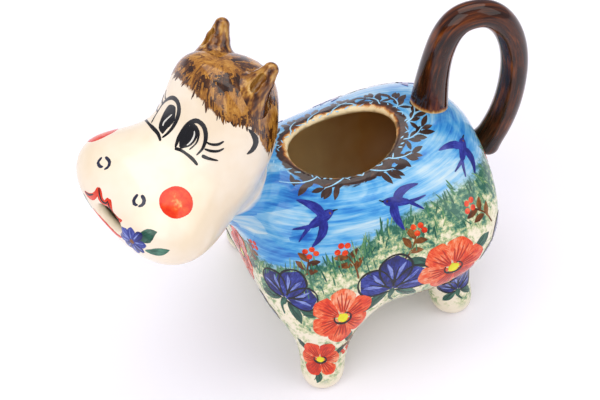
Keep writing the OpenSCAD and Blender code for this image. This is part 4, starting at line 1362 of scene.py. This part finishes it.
def bellflower(draw, r, turn):
    for lean, share, lift in ((-62, 0.94, 0.1), (62, 0.94, 0.1), (0, 1.0, 0.1 + 0.04)):
        a, size = math.radians(90 + lean + turn), r * share
        petal = ray(a, size, BELL_PETAL, broad=size)
        lay("blue_bellflowers", draw(petal), lift, chance.normal(0, 0.04))
        edge = petal_edges(petal)
        uneven = 0.45 + 0.4 * np.abs(np.sin(np.linspace(0, 7, len(edge))))
        lay("drawn_outlines", draw(np.column_stack([edge, uneven])), lift + 0.07)
        for bend in (-0.34, 0.34):
            streak = ray(a, size, ((0.3, 0.05), (0.55, 0.11), (0.82, 0.03)), bend, size)
            lay("blue_bellflowers", draw(streak), lift + 0.03, 0.22)
        for bend in (-0.16, 0.16):
            vein = ray(a, size, ((0.08, 0.7), (0.35, 0.5), (0.68, 0.25)), bend)
            lay("drawn_outlines", draw(vein), lift + 0.07)
    foliage(draw, r, turn, ((215, 0.12, 0.85, 0.34), (322, 0.12, 0.8, 0.32)))
    back = math.radians(270 + turn)
    cup = [(0, 0, 2.2), *ray(back, r, ((0.18, 2.6), (0.34, 1.2))), *ray(back + 0.3, r, ((0.62, 0.7),))]
    lay("green_cups", draw(cup), 0.14)


def spun(draw, turn, size=1.0):
    """Draws a path given in shares of a size, turned on the skin."""
    c, s = math.cos(math.radians(turn)), math.sin(math.radians(turn))

    def draw_turned(path):
        return draw([(x * c - y * s, x * s + y * c, w) for x, y, w in size * np.asarray(path, float)])
    return draw_turned


def sprig(draw, r, turn):
    draw = spun(draw, turn)
    lay("brown_sprigs", draw([(-0.1 * r, -r, 0.8), (0.08 * r, -0.3 * r, 0.7), (0, 0.5 * r, 0.6)]), 0.07)
    for y, lean in ((-0.45, 1), (-0.2, -1), (0.1, 1), (0.3, -1)):
        leaf = [(0, y * r, 0.8), (lean * 0.3 * r, (y + 0.22) * r, 0.36 * r),
                (lean * 0.66 * r, (y + 0.38) * r, 0.7)]
        lay("brown_sprigs", draw(leaf), 0.09, chance.normal(0.03, 0.06))
    for x, y in ((0, 0.62), (-0.3, 0.85), (0.3, 0.88), (0.02, 1.05)):
        berry = [(x * r - 0.16 * r, y * r, 0.3 * r), (x * r + 0.16 * r, y * r, 0.3 * r)]
        lay("red_berries", draw(berry), 0.12, -0.02)


def swallow(draw, r, turn):
    """A body, two wings, a forked tail, a rust throat and a beak."""
    draw = spun(draw, turn, r)
    body = [(.62, .06, .1), (.42, .06, .3), (.1, 0, .36), (-.25, -.04, .24), (-.45, -.06, .1)]
    near_wing = [(.2, .05, .3), (.12, .4, .34), (-.1, .72, .22), (-.36, .98, .06)]
    far_wing = [(.16, -.05, .3), (-.02, -.38, .32), (-.3, -.6, .2), (-.62, -.74, .06)]
    forks = [[(-.35, -.05, .14), (-.62, y * .6 - .06, .12), (-.95, y * 1.5 - .08, .04)] for y in (.14, -.2)]
    for path, proud, tone in ((body, 0.17, 0), (near_wing, 0.2, 0.03), (far_wing, 0.2, -0.03),
                              (forks[0], 0.17, 0), (forks[1], 0.17, 0)):
        lay("swallows", draw(path), proud, tone)
    lay("brown_sprigs", draw([(.48, .05, .11), (.42, .04, .11)]), 0.26)
    lay("drawn_outlines", draw([(.56, .07, .07), (.66, .06, .05), (.75, .04, .02)]), 0.24)


# Where each stands, as seen from outside: along the flank or across the end, its height, size and turn
FLANK = ((bellflower, 5, 44, 16.5, -8), (rosette, -19, 48, 15, 10), (rosette, 26, 38, 13.5, 24),
         (bellflower, -42, 42, 15.5, 16), (bellflower, 44, 45, 14, -16), (rosette, 35, 17, 9.5, 4),
         (bellflower, -30, 15, 10.5, 0), (sprig, 20, 60, 7.5, 24), (sprig, -4, 62, 7.5, -30),
         (sprig, -34, 64, 7.5, 34), (sprig, 36, 60, 7, -14), (sprig, -12, 31, 7, 150),
         (sprig, 22, 22, 6, 150), (sprig, -29, 29, 6.5, 10),
         (swallow, 28, 75, 11, 20), (swallow, -3, 75.5, 10.5, 158), (swallow, -34, 80, 10, 24))
CHEST = ((rosette, 2, 43, 12, 12), (bellflower, -19, 28, 9.5, -12), (bellflower, 20, 27, 9.5, 12),
         (sprig, 1, 24, 6, 0), (sprig, 14, 56, 6, -15), (sprig, -15, 55, 6, 12))
RUMP = ((rosette, 1, 43, 12.5, 0), (bellflower, -18, 29, 9.5, -12), (bellflower, 18, 29, 9.5, 12),
        (sprig, -13, 62, 6.5, 15), (sprig, 0, 27, 6, 10), (sprig, 15, 63, 6, -12))


def meadow():
    for side in (1, -1):
        for kind, x, z, r, turn in FLANK:
            # the far side's swallows fly a little lower and are smaller
            low = 3.5 if side < 0 and kind is swallow else 0
            kind(sheet(struck((x, side * 90, z - low), (0, -side, 0))), r - low / 3, side * turn)
    for plan, x in ((CHEST, 120), (RUMP, -120)):
        for kind, y, z, r, turn in plan:
            kind(sheet(struck((x, y, z), (-np.sign(x), 0, 0))), r, turn)
    for name, (glaze, rough) in MEADOW.items():
        painted(name, STROKES[name], glaze, rough=rough)


grass()
meadow()


# A small blue flower with leaves, at the corner of the mouth

def mouth_flower():
    petals = []
    draw = sheet(settle(clay, out_of_head([[52.3, 16.5, 1.6]]), 6, 3.0)[0])
    for k in range(8):
        a = math.radians(45 * k + 12)
        r = 6.8 * chance.uniform(0.84, 1.1)
        petal = ray(a, r, ((0.1, 1.2), (0.4, 3), (0.75, 3.5), (1, 1.4)))
        petals.append((draw(petal), 0.12 + 0.03 * (k % 2), chance.normal(0, .07)))
        petals.append((draw(ray(a + 0.1, r, ((0.25, .4), (0.5, .5), (0.85, .2)))), 0.19, 0.26))
    heart = [(draw([(-1.1, 0, 1.4), (0, 0.1, 2.2), (1.1, 0, 1.4)]), 0.24, 0)]
    leaves = [(on_head(path), 0.06, tone) for path, tone in (
        ([(50.6, 20, 3.2, 1.4), (49.2, 21, 4.5, 4.4), (47.4, 21.7, 5.5, 4.8), (45.7, 22.6, 6, 3),
          (44.3, 23.7, 6.2, .5)], -.03),
        ([(51, 21.6, -.2, 1), (49.6, 24.4, -.2, 3.2), (47.8, 26.5, .1, 3.6), (46.4, 27.9, .4, 2.4),
          (45, 29.1, .6, .4)], .08),
        ([(53.5, -13.4, 1.6, .5), (54.1, -11.8, .3, 1.7), (54.5, -10, -1, 1.5), (54.9, -8.4, -2, .4)], .2))]
    painted("mouth_flower_petals", petals, BLUE, rough=0.04)
    painted("mouth_flower_heart", heart, BROWN)
    painted("mouth_flower_leaves", leaves, LEAF, rough=0.03)


mouth_flower()
for helper in (BRUSH_DAB, LEAF_DAB, SKIN):
    bpy.data.objects.remove(helper)


# The photographer's table, lights and camera

def stage():
    mesh = bpy.data.meshes.new("table")
    mesh.from_pydata([(-3, -3, 0), (3, -3, 0), (3, 3, 0), (-3, 3, 0)], [], [(0, 1, 2, 3)])
    paper = bpy.data.materials.new("white_paper")
    paper.use_nodes = True
    feed(paper.node_tree, paper.node_tree.nodes["Principled BSDF"],
         {"Base Color": linear("#FAF9FF"), "Roughness": 0.9, "Specular IOR Level": 0.1})
    mesh.materials.append(paper)
    placed("table", mesh)


LIT_PLACE = Vector((0, 0, 0.06))


def soft_light(name, at, size, watts):
    data = bpy.data.lights.new(name, "AREA")
    data.shape, data.size, data.size_y = "RECTANGLE", size[0], size[1]
    data.energy, data.color = watts, linear("#FFFEFA")[:3]
    lamp = placed(name, data)
    lamp.location = at
    lamp.rotation_euler = (LIT_PLACE - Vector(at)).to_track_quat("-Z", "Y").to_euler()


SENSOR = 36


def camera(azimuth, elevation, roll, distance, aim, px_per_metre):
    """Looks at a place from angles in degrees; a metre across there is the given number of pixels of 600."""
    a, e, r = (math.radians(v) for v in (azimuth, elevation, roll))
    back = Vector((math.cos(a) * math.cos(e), math.sin(a) * math.cos(e), math.sin(e)))
    right = Vector((-math.sin(a), math.cos(a), 0))
    up = back.cross(right)
    right, up = right * math.cos(r) + up * math.sin(r), up * math.cos(r) - right * math.sin(r)
    data = bpy.data.cameras.new("camera")
    data.sensor_width, data.lens = SENSOR, SENSOR * px_per_metre * distance / 600
    obj = placed("camera", data)
    obj.matrix_world = Matrix((right, up, back)).transposed().to_4x4()
    obj.location = Vector(aim) + back * distance
    bpy.context.scene.camera = obj


stage()
soft_light("left_softbox", (0.9, 0.5, 0.9), (1.2, 1.2), 7.8)
soft_light("right_softbox", (-0.8, 0.7, 0.9), (1.0, 1.2), 5.3)
soft_light("top_softbox", (-0.1, -0.3, 1.2), (1.4, 1.0), 7.9)
camera(66.48, 47.27, -0.19, 0.7793, (-0.0008, -0.01196, 0.045), 2550)
world = bpy.context.scene.world or bpy.data.worlds.new("studio")
bpy.context.scene.world = world
world.use_nodes = True
feed(world.node_tree, world.node_tree.nodes["Background"], {"Color": linear("#F5F2FF"), "Strength": 0.5})
bpy.context.scene.view_settings.view_transform = "Standard"
